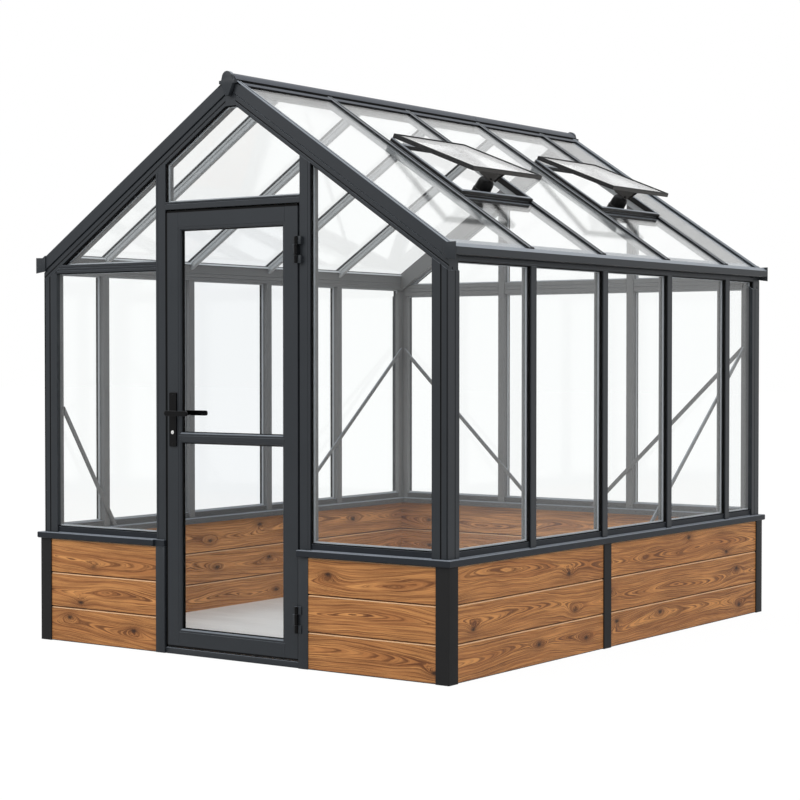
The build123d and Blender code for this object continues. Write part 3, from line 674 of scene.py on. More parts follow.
def lengthwise(x: float, z: float, width: Vector, depth: Vector) -> Place:
    """A place in the middle of the house whose run goes along it."""
    return Place(Vector((x, 0, z)), width, depth, Y_AXIS)


Groove = tuple[float, float, float]


def oblong(left: float, right: float, low: float, high: float) -> Outline:
    """Outline of an oblong between these widths and depths."""
    return [(left, low), (right, low), (right, high), (left, high)]


def grooved(
    width: float, depth: float, front: Sequence[Groove] = (), back: Sequence[Groove] = (),
    low: Sequence[Groove] = (), high: Sequence[Groove] = (),
) -> Outline:
    """Outline of a bar with grooves run along its faces.

    Args:
        width: Size across its front.
        depth: Size from front to back.
        front: Grooves in the front, each as middle, width and depth.
        back: Grooves in the back.
        low: Grooves in the side at width 0, with the middle measured from the front.
        high: Grooves in the other side.

    Returns:
        The outline, with its front at depth 0.
    """
    points: Outline = [(0.0, 0.0)]
    for middle, size, sunk in sorted(front):
        points += [(middle - size / 2, 0.0), (middle - size / 2, sunk)]
        points += [(middle + size / 2, sunk), (middle + size / 2, 0.0)]
    points.append((width, 0.0))
    for middle, size, sunk in sorted(high):
        points += [(width, middle - size / 2), (width - sunk, middle - size / 2)]
        points += [(width - sunk, middle + size / 2), (width, middle + size / 2)]
    points.append((width, depth))
    for middle, size, sunk in sorted(back, reverse=True):
        points += [(middle + size / 2, depth), (middle + size / 2, depth - sunk)]
        points += [(middle - size / 2, depth - sunk), (middle - size / 2, depth)]
    points.append((0.0, depth))
    for middle, size, sunk in sorted(low, reverse=True):
        points += [(0.0, middle + size / 2), (sunk, middle + size / 2)]
        points += [(sunk, middle - size / 2), (0.0, middle - size / 2)]
    return points


def arc(middle: tuple[float, float], radius: float, start: float, end: float, parts: int = 6) -> Outline:
    """Points on a round arc.

    Args:
        middle: Its centre.
        radius: Its radius.
        start: Its first angle in degrees.
        end: Its last angle in degrees.
        parts: Number of straight parts.

    Returns:
        The points from start to end.
    """
    angles = [math.radians(start + (end - start) * part / parts) for part in range(parts + 1)]
    return [(middle[0] + radius * math.cos(a), middle[1] + radius * math.sin(a)) for a in angles]


def circle(radius: float, sides: int) -> Outline:
    """Outline of a round bar with this many sides."""
    return arc((0.0, 0.0), radius, 0.0, 360.0 * (sides - 1) / sides, sides - 1)


def inset(polygon: Profile, distance: float) -> Outline:
    """A convex polygon moved in from each side.

    Args:
        polygon: Its corners, anticlockwise.
        distance: How far each side moves in.

    Returns:
        The corners of the smaller polygon.
    """
    count = len(polygon)
    lines = []
    for index in range(count):
        start = Vector(polygon[index])
        side = (Vector(polygon[(index + 1) % count]) - start).normalized()
        lines.append((start + Vector((-side.y, side.x)) * distance, side))
    corners = []
    for index in range(count):
        before, turn = lines[index - 1]
        after, side = lines[index]
        gap = after - before
        shift = (gap.x * side.y - gap.y * side.x) / (turn.x * side.y - turn.y * side.x)
        corner = before + turn * shift
        corners.append((corner.x, corner.y))
    return corners


SEED_STRETCH = 10.0
DEPTH_SEED = 0.4
MIRRORED_SEED = 0.37


@dataclass
class Solid:
    """A closed solid whose skin runs from ring to ring."""

    rings: list[list[Vector]]
    closed: bool = False
    board: Optional[tuple[Place, float]] = None

    def flipped(self, axes: Sequence[int], seed_shift: float = 0.0) -> "Solid":
        """Copy the solid with some axes reversed.

        Args:
            axes: The axes.
            seed_shift: What the copy's seed gains, where it is a board.

        Returns:
            The copy.
        """
        rings = [[flip(point, axes) for point in ring] for ring in self.rings]
        board = self.board and (self.board[0].flipped(axes), self.board[1] + seed_shift)
        return Solid(rings, self.closed, board)

    def skin(self, shape: bmesh.types.BMesh) -> list[bmesh.types.BMFace]:
        """Add the solid's faces to a mesh.

        Args:
            shape: The mesh.

        Returns:
            The new faces.
        """
        loops = [[shape.verts.new(point) for point in ring] for ring in self.rings]
        count = len(loops[0])
        faces = []
        steps = len(loops) if self.closed else len(loops) - 1
        for step in range(steps):
            near, far = loops[step], loops[(step + 1) % len(loops)]
            for index in range(count):
                after = (index + 1) % count
                faces.append(shape.faces.new((near[index], near[after], far[after], far[index])))
        if not self.closed:
            faces.append(shape.faces.new(list(reversed(loops[0]))))
            faces.append(shape.faces.new(loops[-1]))
        return faces

    def grain_at(self, point: Vector) -> Vector:
        """Work out a board's grain coordinates.

        Args:
            point: A point of the board.

        Returns:
            Its distance along the board, its height on it, and the seed with a little of its depth.
        """
        place, seed = self.board
        offset = point - place.origin
        along = offset.dot(place.run) + SEED_STRETCH * seed
        return Vector((along, offset.dot(place.width), seed + offset.dot(place.depth) * DEPTH_SEED))


@dataclass
class Draft:
    """Solids that are gathered into one mesh."""

    solids: list[Solid] = field(default_factory=list)

    def loft(self, rings: Sequence[Sequence[Vector]], closed: bool = False) -> "Draft":
        """Add a solid through rings of equally many points, closed into a loop or capped at its ends."""
        self.solids.append(Solid([list(ring) for ring in rings], closed))
        return self

    def member(
        self, outline: Outline, place: Place, start: End, end: End, seed: Optional[float] = None,
    ) -> "Draft":
        """Add a straight member between two ends.

        Args:
            outline: Its section.
            place: Where the section lies.
            start: Its first end, as a plane, or for a square cut as a coordinate along the run.
            end: Its last end, in the same way.
            seed: The board's seed, where it is a board.

        Returns:
            The draft itself.
        """
        feet = [place.at(a, b) for a, b in outline]
        rings = []
        for cut in (start, end):
            plane = cut if isinstance(cut, Cut) else Cut(place.run * cut, place.run)
            rings.append([foot + place.run * plane.reach(foot, place.run) for foot in feet])
        self.solids.append(Solid(rings, board=None if seed is None else (place, seed)))
        return self

    def slab(self, outline: Outline, place: Place, start: float, end: float) -> "Draft":
        """Add a flat piece with this outline, from start to end along the place's run."""
        return self.loft([[place.at(a, b, t) for a, b in outline] for t in (start, end)])

    def framed(self, outer: Outline, section: Profile, place: Place) -> "Draft":
        """Add a mitred frame.

        Args:
            outer: Its outer outline.
            section: Its section, as distances in from that outline and heights along the run.
            place: Its plane.

        Returns:
            The draft itself.
        """
        rings = [
            [place.at(a, b, height) for a, b in (inset(outer, step) if step else outer)]
            for step, height in section
        ]
        return self.loft(rings, closed=True)

    def lathe(self, place: Place, profile: Profile, sides: int = 32) -> "Draft":
        """Add a turned solid, whose profile gives heights along the place's run, each with a radius."""
        ring = circle(1.0, sides)
        return self.loft([[place.at(a * size, b * size, rise) for a, b in ring] for rise, size in profile])

    def rod(self, start: Vector, end: Vector, radius: float, sides: int = 24) -> "Draft":
        """Add a round rod.

        Args:
            start: Middle of its first end.
            end: Middle of its last end.
            radius: Its radius.
            sides: Number of its sides.

        Returns:
            The draft itself.
        """
        run = (end - start).normalized()
        width = run.orthogonal().normalized()
        place = Place(start, width, run.cross(width), run)
        return self.slab(circle(radius, sides), place, 0.0, (end - start).length)

    def joined(self, other: "Draft") -> "Draft":
        """Add the solids of another draft."""
        self.solids += other.solids
        return self

    def flipped(self, *axes: int) -> "Draft":
        """Reverse these axes of all the solids so far."""
        self.solids = [solid.flipped(axes) for solid in self.solids]
        return self

    def doubled(self, *axes: int) -> "Draft":
        """Add a copy of all the solids so far, mirrored in one axis or turned half round by two."""
        self.solids += [solid.flipped(axes, MIRRORED_SEED) for solid in self.solids]
        return self

    def make(
        self, name: str, material: Material, slot: Slot, replaces: Sequence[str] = (),
        body: Body = Body.HOUSE, bevel: float = 0.0008,
    ) -> None:
        """Turn the draft into a finished piece.

        Args:
            name: The piece's name.
            material: Its finish.
            slot: The record's slot that the finish belongs to; not used.
            replaces: Nodes of the frame that it stands for.
            body: The body that it moves with.
            bevel: Width of the rounding along its edges.
        """
        shape = bmesh.new()
        layer = shape.loops.layers.float_vector.new(GRAIN)
        for solid in self.solids:
            faces = solid.skin(shape)
            if solid.board:
                for corner in (corner for face in faces for corner in face.loops):
                    corner[layer] = solid.grain_at(corner.vert.co)
        bmesh.ops.recalc_face_normals(shape, faces=shape.faces)
        if not any(solid.board for solid in self.solids):
            shape.loops.layers.float_vector.remove(layer)
        mesh = bpy.data.meshes.new(name)
        shape.to_mesh(mesh)
        shape.free()
        piece = bpy.data.objects.new(name, mesh)
        bpy.context.scene.collection.objects.link(piece)
        mesh.materials.append(material)
        if bevel:
            soften(piece, bevel)
        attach(piece, body.value)
        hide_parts(*replaces)
        log.info("%s: %d solids for %s", name, len(self.solids), ", ".join(replaces) or "no node")


BEVEL_FACES = 2
BEVEL_ANGLE = math.radians(32.0)
WELD_REACH = 0.00002


def soften(piece: bpy.types.Object, width: float) -> None:
    """Round a piece's edges a little.

    Args:
        piece: The piece.
        width: Width of the rounding.
    """
    piece.data.shade_smooth()
    bevel = piece.modifiers.new("soft_edges", "BEVEL")
    bevel.width = width
    bevel.segments = BEVEL_FACES
    bevel.limit_method = "ANGLE"
    bevel.angle_limit = BEVEL_ANGLE
    bevel.harden_normals = True


def dress(node: str, material: Material, bevel: float = 0.0) -> None:
    """Give a node of the frame its finish, and soft edges where bevel is above zero.

    Args:
        node: The node's name.
        material: Its finish.
        bevel: Width of the rounding along its edges.
    """
    piece = frame["nodes"][node]
    piece.data.materials.clear()
    piece.data.materials.append(material)
    if bevel:
        weld = piece.modifiers.new("joined_corners", "WELD")
        weld.merge_threshold = WELD_REACH
        soften(piece, bevel)
    log.info("%s: dressed as it is", node)


# ---- the house's shared lines


@dataclass
class House:
    """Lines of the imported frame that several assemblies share."""

    pitch: float = math.radians(33.6)
    base_post: float = 0.070
    corner_post: float = 0.076
    wall_post_width: float = 0.048
    wall_post_depth: float = 0.055
    gable_post_depth: float = 0.060
    door_post: float = 0.060
    sill_height: float = 0.032
    rafter_drop: float = 0.102
    bar_width: float = 0.034
    bar_cap: float = 0.032
    glass_setback: float = 0.018
    glass_thickness: float = 0.004
    bays: int = 5
    short_bay: float = 0.344
    front_bays: int = 2
    vent_bays: tuple[int, ...] = (2, 4)

    def __post_init__(self) -> None:
        """Read the lines from the frame's boxes."""
        _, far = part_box("corner_posts")
        _, base_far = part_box("base_corner_posts")
        _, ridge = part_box("ridge_beam")
        self.frame_x, self.frame_y = far.x, far.y
        self.base_x, self.base_y, self.base_top = base_far
        self.corner_x = self.frame_x - self.corner_post
        self.corner_y = self.frame_y - self.corner_post
        self.sill_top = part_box("cap_rail_right")[1].z
        self.cap_top = self.sill_top - self.sill_height
        self.beam_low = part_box("eave_beams")[0].z
        self.apex, self.ridge_half = ridge.z, ridge.x
        self.fascia_y = -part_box("front_rafters")[0].y
        self.door_half = -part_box("door_sill")[0].x
        self.door_post_x = self.door_half + self.door_post
        corner_line = self.frame_y - self.corner_post / 2
        self.bay = (2 * corner_line - self.short_bay) / (self.bays - 1)
        self.post_lines = [self.bay * count - corner_line for count in range(1, self.bays)]
        self.vent_lines = [self.bay * (count - 0.5) - corner_line for count in self.vent_bays]
        self.mid_post_y = self.post_lines[self.front_bays - 1]
        self.slope = math.tan(self.pitch)
        self.down_slope = Vector((math.cos(self.pitch), 0, -math.sin(self.pitch)))
        self.off_slope = Vector((math.sin(self.pitch), 0, math.cos(self.pitch)))
        self.under_rafter = Cut(Vector((0, 0, self.apex - self.rafter_drop)), self.off_slope)

    def roof(self, x: float, rise: float = 0.0) -> float:
        """Height of the roof plane at x, plus a vertical rise."""
        return self.apex - abs(x) * self.slope + rise

    def slope_point(self, along: float, out: float) -> Vector:
        """A point in the middle of the right slope, at a distance down it and a distance off it."""
        return Vector((0, 0, self.apex)) + self.down_slope * along + self.off_slope * out

    def shell(self) -> Shell:
        """The skin of glass that parts outdoors from indoors."""
        behind = self.glass_setback + self.glass_thickness / 2
        return Shell(self.frame_x - behind, self.frame_y - behind, self.apex, self.slope)

    def on_slope(self, y: float) -> Place:
        """A place on the right slope at y, with its run down the slope and its depth downwards."""
        return Place(Vector((0, y, self.apex)), Y_AXIS, -self.off_slope, self.down_slope)


@dataclass
class Assembly:
    """A sub-assembly that follows the house's lines and wears its finishes."""

    house: House
    finishes: Finishes


@dataclass
class TimberBase(Assembly):
    """Knee walls of grooved boards between metal posts, the floor and the cap rails."""

    thickness: float = 0.028
    post_round: float = 0.004
    recess: float = 0.006
    boards: int = 3
    gap: float = 0.0026
    chamfer: float = 0.0032
    under_cut: float = 0.0050
    tongue: float = 0.008
    tongue_thickness: float = 0.002
    tongue_gap: float = 0.0006
    board_bevel: float = 0.0006
    seed_step: float = 0.173
    mid_post: float = 0.070
    mid_chamfer: float = 0.002
    cap_overhang: float = 0.012
    cap_lip: float = 0.005
    cap_round: float = 0.004
    cap_drip: float = 0.004
    cap_edge: float = 0.003
    sill_setback: float = 0.009
    sill_depth: float = 0.036
    sill_slant: float = 0.006
    sill_foot: float = 0.002

    def build(self) -> None:
        """Make the walls, posts, floor and cap rails."""
        self.walls()
        self.mid_posts()
        self.corner_posts()
        dress("base_door_posts", self.finishes.frame, bevel=0.0015)
        self.floor()
        self.cap_rails()

    def board_outline(self, height: float, joined: bool) -> Outline:
        """Section of one board: width is its height on the wall, depth its thickness.

        Args:
            height: The height that it takes up on the wall.
            joined: Whether its tongue reaches into a board above it.

        Returns:
            The outline.
        """
        thickness = self.thickness / 2
        cut, under, middle = self.chamfer, self.under_cut, thickness / 2
        half, top = self.tongue_thickness / 2, height - self.gap
        side, groove = half + self.tongue_gap, self.tongue + self.gap
        tip = top + self.gap + self.tongue
        tongue = [(tip, middle - half), (tip, middle + half)] if joined else []
        return [
            (under, 0.0), (top - cut, 0.0), (top, cut), (top, middle - half), *tongue,
            (top, middle + half), (top, thickness - cut), (top - cut, thickness),
            (under, thickness), (0.0, thickness - under), (0.0, middle + side),
            (groove, middle + side), (groove, middle - side), (0.0, middle - side), (0.0, under),
        ]

    def panel(self, draft: Draft, foot: Place, start: float, end: float, seed: float) -> None:
        """Add the boards of one wall panel.

        Args:
            draft: Where they are added.
            foot: The foot of the wall's outer face, with the width upwards and the depth inwards.
            start: Where they start along the wall.
            end: Where they end.
            seed: Seed of the lowest board.
        """
        height = self.house.base_top / self.boards
        for count in range(self.boards):
            outline = self.board_outline(height, count < self.boards - 1)
            place = replace(foot, origin=foot.at(height * count, 0.0))
            draft.member(outline, place, start, end, seed + self.seed_step * count)

    def walls(self) -> None:
        """Make the boards of the knee walls and the linings behind them."""
        house, depth = self.house, self.thickness / 2
        wall_x, wall_y = house.base_x - self.recess, house.base_y - self.recess
        inner_x, inner_y = wall_x - depth, wall_y - depth
        end_x, end_y = house.base_x - house.base_post, house.base_y - house.base_post
        door_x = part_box("base_door_posts")[1].x
        mid_low, mid_high = house.mid_post_y - self.mid_post / 2, house.mid_post_y + self.mid_post / 2
        front, sides, back, linings = Draft(), Draft(), Draft(), Draft()
        self.panel(front, crosswise(-wall_y, 0.0, Z_AXIS, Y_AXIS), door_x, end_x, 0.11)
        self.panel(linings, crosswise(-inner_y, 0.0, Z_AXIS, Y_AXIS), door_x, inner_x, 0.83)
        front.doubled(0)
        linings.doubled(0)
        right = lengthwise(wall_x, 0.0, Z_AXIS, -X_AXIS)
        self.panel(sides, right, -end_y, mid_low, 0.71)
        self.panel(sides, right, mid_high, end_y, 1.53)
        sides.doubled(0, 1)
        for side in (-1, 1):
            inner = lengthwise(side * inner_x, 0.0, Z_AXIS, X_AXIS * -side)
            self.panel(linings, inner, depth - inner_y, inner_y - depth, 2.17 + side)
        self.panel(back, crosswise(wall_y, 0.0, Z_AXIS, -Y_AXIS), -end_x, end_x, 2.9)
        self.panel(linings, crosswise(inner_y, 0.0, Z_AXIS, -Y_AXIS), -inner_x, inner_x, 3.4)
        cedar, shaded = self.finishes.boards, self.finishes.linings
        for draft, name, finish, nodes in (
            (front, "front_boards", cedar, ["knee_wall_front"]),
            (sides, "side_boards", cedar, ["knee_wall_sides"]),
            (linings, "board_linings", shaded, []),
            (back, "back_boards", cedar, ["knee_wall_back"]),
        ):
            draft.make(name, finish, Slot.BOARDS, nodes, bevel=self.board_bevel)

    def floor(self) -> None:
        """Make the paved floor, which runs up to the boards and round the doorway."""
        low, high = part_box("floor_slab")
        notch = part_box("base_door_posts")[1]
        outline = [
            (low.x, low.y), (-notch.x, low.y), (-notch.x, notch.y), (notch.x, notch.y),
            (notch.x, low.y), (high.x, low.y), (high.x, high.y), (low.x, high.y),
        ]
        draft = Draft().slab(outline, upright(0.0, 0.0, X_AXIS, Y_AXIS), low.z, high.z)
        draft.make("paved_floor", self.finishes.paving, Slot.PAVING, ["floor_slab"], bevel=0.0)

    def corner_posts(self) -> None:
        """Make the angle posts that wrap the outer corners of the boards."""
        house = self.house
        size, thin, bend = house.base_post, self.recess + self.thickness / 2, self.post_round
        outline = [
            *arc((bend, bend), bend, 180, 270, 5), (size, 0.0), (size, thin),
            (thin, thin), (thin, size), (0.0, size),
        ]
        place = upright(house.base_x, -house.base_y, -X_AXIS, Y_AXIS)
        draft = Draft().member(outline, place, 0.0, house.base_top).doubled(0).doubled(1)
        draft.make("corner_angle_posts", self.finishes.plinth, Slot.FRAME, ["base_corner_posts"])

    def mid_posts(self) -> None:
        """Make the cover posts in the middle of the side walls."""
        house, width, cut = self.house, self.mid_post, self.mid_chamfer
        depth = self.recess + self.thickness / 2
        outline = [(0.0, depth), (0.0, cut), (cut, 0.0), (width - cut, 0.0), (width, cut), (width, depth)]
        place = upright(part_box("base_mid_posts")[1].x, house.mid_post_y - width / 2, Y_AXIS, -X_AXIS)
        draft = Draft().member(outline, place, 0.0, house.base_top).doubled(0, 1)
        draft.make("side_cover_posts", self.finishes.plinth, Slot.FRAME, ["base_mid_posts"])

    def cap_outline(self) -> Outline:
        """Section of a cap rail: width is measured inwards from its outer edge, depth downwards.

        Returns:
            The outline.
        """
        house = self.house
        over = self.cap_overhang + house.base_x
        width, thickness = over - house.corner_x + self.cap_lip, house.cap_top - house.base_top
        sill = over - house.frame_x + self.sill_setback
        back, top = sill + self.sill_depth, -house.sill_height
        bend, drip, edge = self.cap_round, self.cap_drip, self.cap_edge
        slant, foot = self.sill_slant, self.sill_foot
        return [
            (drip, thickness), (0.0, thickness - drip), *arc((bend, bend), bend, 180, 270, 4),
            (sill - foot, 0.0), (sill, -foot), (sill, top + slant), (sill + slant, top),
            (back - edge, top), (back, top + edge), (back, 0.0),
            (width - edge, 0.0), (width, edge), (width, thickness),
        ]

    def cap_rails(self) -> None:
        """Make the mitred cap rails with their glazing sill."""
        house, outline = self.house, self.cap_outline()
        outer_x, outer_y = house.base_x + self.cap_overhang, house.base_y + self.cap_overhang
        rising, falling = Vector((1, 1, 0)).normalized(), Vector((1, -1, 0)).normalized()
        far = Cut(Vector((outer_x, outer_y, 0)), falling)
        far_left = Cut(Vector((-outer_x, outer_y, 0)), rising)
        near = Cut(Vector((outer_x, -outer_y, 0)), rising)
        flat = [point for point in outline if point[1] >= 0.0]
        flush = [(max(a, self.cap_overhang), b) for a, b in flat]
        side = lengthwise(outer_x, house.cap_top, -X_AXIS, -Z_AXIS)
        front = crosswise(-outer_y, house.cap_top, Y_AXIS, -Z_AXIS)
        back = crosswise(outer_y, house.cap_top, -Y_AXIS, -Z_AXIS)
        sides = Draft().member(outline, side, near, far).doubled(0)
        fronts = Draft().member(outline, front, house.door_post_x, near).doubled(0)
        fronts.member(flat, front, house.door_half, house.door_post_x)
        fronts.member(flush, front, -house.door_post_x, -house.door_half)
        backs = Draft().member(outline, back, far_left, far)
        for draft, name, nodes in (
            (sides, "side_cap_rails", ["cap_rail_right", "cap_rail_left"]),
            (fronts, "front_cap_rails", ["cap_rail_front"]),
            (backs, "back_cap_rail", ["cap_rail_back"]),
        ):
            draft.make(name, self.finishes.rails, Slot.FRAME, nodes, bevel=0.001)


@dataclass
class WallFrame(Assembly):
    """Posts, beams and ties of the upper frame."""

    flange: float = 0.006
    flange_edge: float = 0.002
    web_width: float = 0.044
    web_edge: float = 0.004
    line: float = 0.005
    corner_line: float = 0.007
    corner_side_line: float = 0.004
    corner_lines: tuple[float, float, float] = (0.55, 0.93, 0.62)
    post_line: float = 0.78
    tie_lines: tuple[float, float] = (0.36, 0.66)
    line_depth: float = 0.008
    fine_line: float = 0.003
    fine_depth: float = 0.005
    strip_lift: float = 0.001
    corner_extra: float = 0.010
    corner_arm: float = 0.046
    lintel_line: float = 0.026
    beam_line: Groove = (0.009, 0.002, 0.0015)
    inner_beam_lines: tuple[Groove, ...] = ((0.01675, 0.0025, 0.004), (0.03675, 0.0025, 0.004))
    eave_strip: float = 0.014

    def build(self) -> None:
        """Make the posts, beams and ties, and dress the braces."""
        self.corner_posts()
        self.side_posts()
        self.door_frame()
        self.back_posts()
        self.ties()
        self.eave_beams()
        for node in ("side_braces", "back_braces"):
            dress(node, self.finishes.frame, bevel=0.001)

    def post_outline(self, width: float, depth: float) -> Outline:
        """Section of a glazing post: outer flange, glass rebates and inner box.

        Args:
            width: Width of its flange.
            depth: Its whole depth.

        Returns:
            The outline, with its outer face at depth 0.
        """
        edge, inner, flange = self.flange_edge, self.web_edge, self.flange
        near = (width - self.web_width) / 2
        far = width - near
        return [
            (edge, 0.0), (width - edge, 0.0), (width, edge), (width, flange), (far, flange),
            (far, depth - inner), (far - inner, depth), (near + inner, depth), (near, depth - inner),
            (near, flange), (0.0, flange), (0.0, edge),
        ]

    def corner_posts(self) -> None:
        """Make the four corner posts, grooved on both outer faces and open at the inner corner, with black
        strips painting the shade in the grooves.
        """
        house, arm, sunk, lift = self.house, self.corner_arm, self.fine_depth, self.strip_lift
        size = house.corner_post + self.corner_extra
        middles = [size * share for share in self.corner_lines]
        front_lines = [(middles[0], self.corner_line, sunk), (middles[1], self.corner_side_line, sunk)]
        side_lines = [(middles[2], self.corner_side_line, sunk)]
        outline = grooved(size, size, front=front_lines, high=side_lines)
        outline.remove((0.0, size))
        outline += [(size - arm, size), (size - arm, arm), (0.0, arm)]
        place = upright(house.frame_x - size, -house.frame_y, X_AXIS, Y_AXIS)
        draft = Draft().member(outline, place, house.cap_top, house.under_rafter).doubled(0).doubled(1)
        draft.make("grooved_corner_posts", self.finishes.frame, Slot.FRAME, ["corner_posts"], bevel=0.0012)
        # Painted shade: black strips fill the grooves, so that they read as dark lines.
        strips = Draft()
        for section in [
            *[oblong(middle - wide / 2, middle + wide / 2, lift, sunk) for middle, wide, _ in front_lines],
            *[oblong(size - sunk, size - lift, middle - wide / 2, middle + wide / 2)
              for middle, wide, _ in side_lines],
        ]:
            strips.member(section, place, house.cap_top, house.under_rafter)
        strips.doubled(0).doubled(1)
        strips.make("corner_groove_shade_strips", self.finishes.rubber, Slot.FITTINGS, bevel=0.0)

    def side_posts(self) -> None:
        """Make the glazing posts of both side walls."""
        house, width = self.house, self.house.wall_post_width
        outline = self.post_outline(width, house.wall_post_depth)
        draft = Draft()
        for line in house.post_lines:
            place = upright(house.frame_x, line - width / 2, Y_AXIS, -X_AXIS)
            draft.member(outline, place, house.cap_top, house.beam_low)
        draft.doubled(0, 1).make("side_glazing_posts", self.finishes.frame, Slot.FRAME, ["side_posts"])

    def door_frame(self) -> None:
        """Make the door posts and the lintel, and dress the sill."""
        house, paint, fine = self.house, self.finishes.frame, self.fine_line / 2
        lines = [(house.door_post * self.post_line, fine, fine)]
        outline = grooved(house.door_post, house.gable_post_depth, front=lines)
        place = upright(house.door_half, -house.frame_y, X_AXIS, Y_AXIS)
        posts = Draft().member(outline, place, house.cap_top, house.under_rafter).doubled(0)
        posts.make("grooved_door_posts", paint, Slot.FRAME, ["door_posts"])
        low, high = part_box("door_lintel")
        lines = [(self.lintel_line, self.fine_line, self.fine_depth)]
        outline = grooved(high.z - low.z, house.gable_post_depth, front=lines)
        lintel = Draft().member(outline, crosswise(low.y, low.z, Z_AXIS, Y_AXIS), low.x, high.x)
        lintel.make("grooved_lintel", paint, Slot.FRAME, ["door_lintel"])
        dress("door_sill", paint, bevel=0.0012)

    def back_posts(self) -> None:
        """Make the two posts of the back gable."""
        house = self.house
        edge = house.door_half + (house.door_post - house.wall_post_width) / 2
        outline = self.post_outline(house.wall_post_width, house.gable_post_depth)
        place = upright(edge, house.frame_y, X_AXIS, -Y_AXIS)
        draft = Draft().member(outline, place, house.cap_top, house.under_rafter).doubled(0)
        draft.make("back_glazing_posts", self.finishes.frame, Slot.FRAME, ["back_posts"])

    def tie(self, node: str, start: float, end: float) -> Draft:
        """A tie of the front gable, cut to the slope where it meets the underside of the rafter.

        Args:
            node: The node whose height it has.
            start: Where it starts across the house.
            end: Where it ends, unless the rafter ends it before.

        Returns:
            The tie.
        """
        low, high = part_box(node)
        height = high.z - low.z
        lines = [(height * share, self.fine_line, self.fine_depth) for share in self.tie_lines]
        outline = grooved(height, self.house.wall_post_depth, front=lines, back=lines)
        place = crosswise(-self.house.frame_y, low.z, Z_AXIS, Y_AXIS)
        feet = [place.at(a, b) for a, b in outline]
        reaches = [min(end, self.house.under_rafter.reach(foot, X_AXIS)) for foot in feet]
        near = [foot + X_AXIS * start for foot in feet]
        return Draft().loft([near, [foot + X_AXIS * reach for foot, reach in zip(feet, reaches)]])

    def ties(self) -> None:
        """Make the ties at eave height in both gables."""
        house, paint = self.house, self.finishes.frame
        front = self.tie("front_tie", house.door_post_x, house.corner_x).flipped(0)
        front.make("front_tie_bar", paint, Slot.FRAME, ["front_tie"])
        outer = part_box("back_posts")[1].x
        inner = outer - house.wall_post_width
        back = self.tie("back_ties", outer, house.corner_x).doubled(0)
        back.joined(self.tie("back_ties", -inner, inner)).flipped(1)
        back.make("back_tie_bars", paint, Slot.FRAME, ["back_ties"])

    def eave_beams(self) -> None:
        """Make the beams along both eaves, with pale glazing strips under the roof's glass whose colour
        paints the highlight along the beams' inner top edge.
        """
        house, line, depth = self.house, self.line, self.house.wall_post_depth
        inner_x, end = house.frame_x - depth, house.corner_y
        top_outer, top_inner = (house.roof(x) - house.beam_low for x in (house.frame_x, inner_x))
        gutter_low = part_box("gutters")[0].z - house.beam_low
        under_gutter = (gutter_low - line / 2, line, self.line_depth)
        outline = grooved(
            top_outer, depth, front=[self.beam_line, under_gutter], back=self.inner_beam_lines,
        )
        outline[outline.index((top_outer, depth))] = (top_inner, depth)
        beams = Draft().member(outline, lengthwise(house.frame_x, house.beam_low, Z_AXIS, -X_AXIS), -end, end)
        beams.doubled(0).make("grooved_eave_beams", self.finishes.frame, Slot.FRAME, ["eave_beams"])
        # Painted highlight: pale strips along the beams' inner top edge.
        strip = [(0.0, 0.0), (self.eave_strip, 0.0), (0.0, self.eave_strip * house.slope)]
        under = lengthwise(inner_x, house.roof(inner_x) - self.eave_strip, -X_AXIS, Z_AXIS)
        strips = Draft().member(strip, under, -end, end).doubled(0)
        strips.make("eave_highlight_glazing_strips", self.finishes.painted_highlight_rubber, Slot.FITTINGS, bevel=0.0)


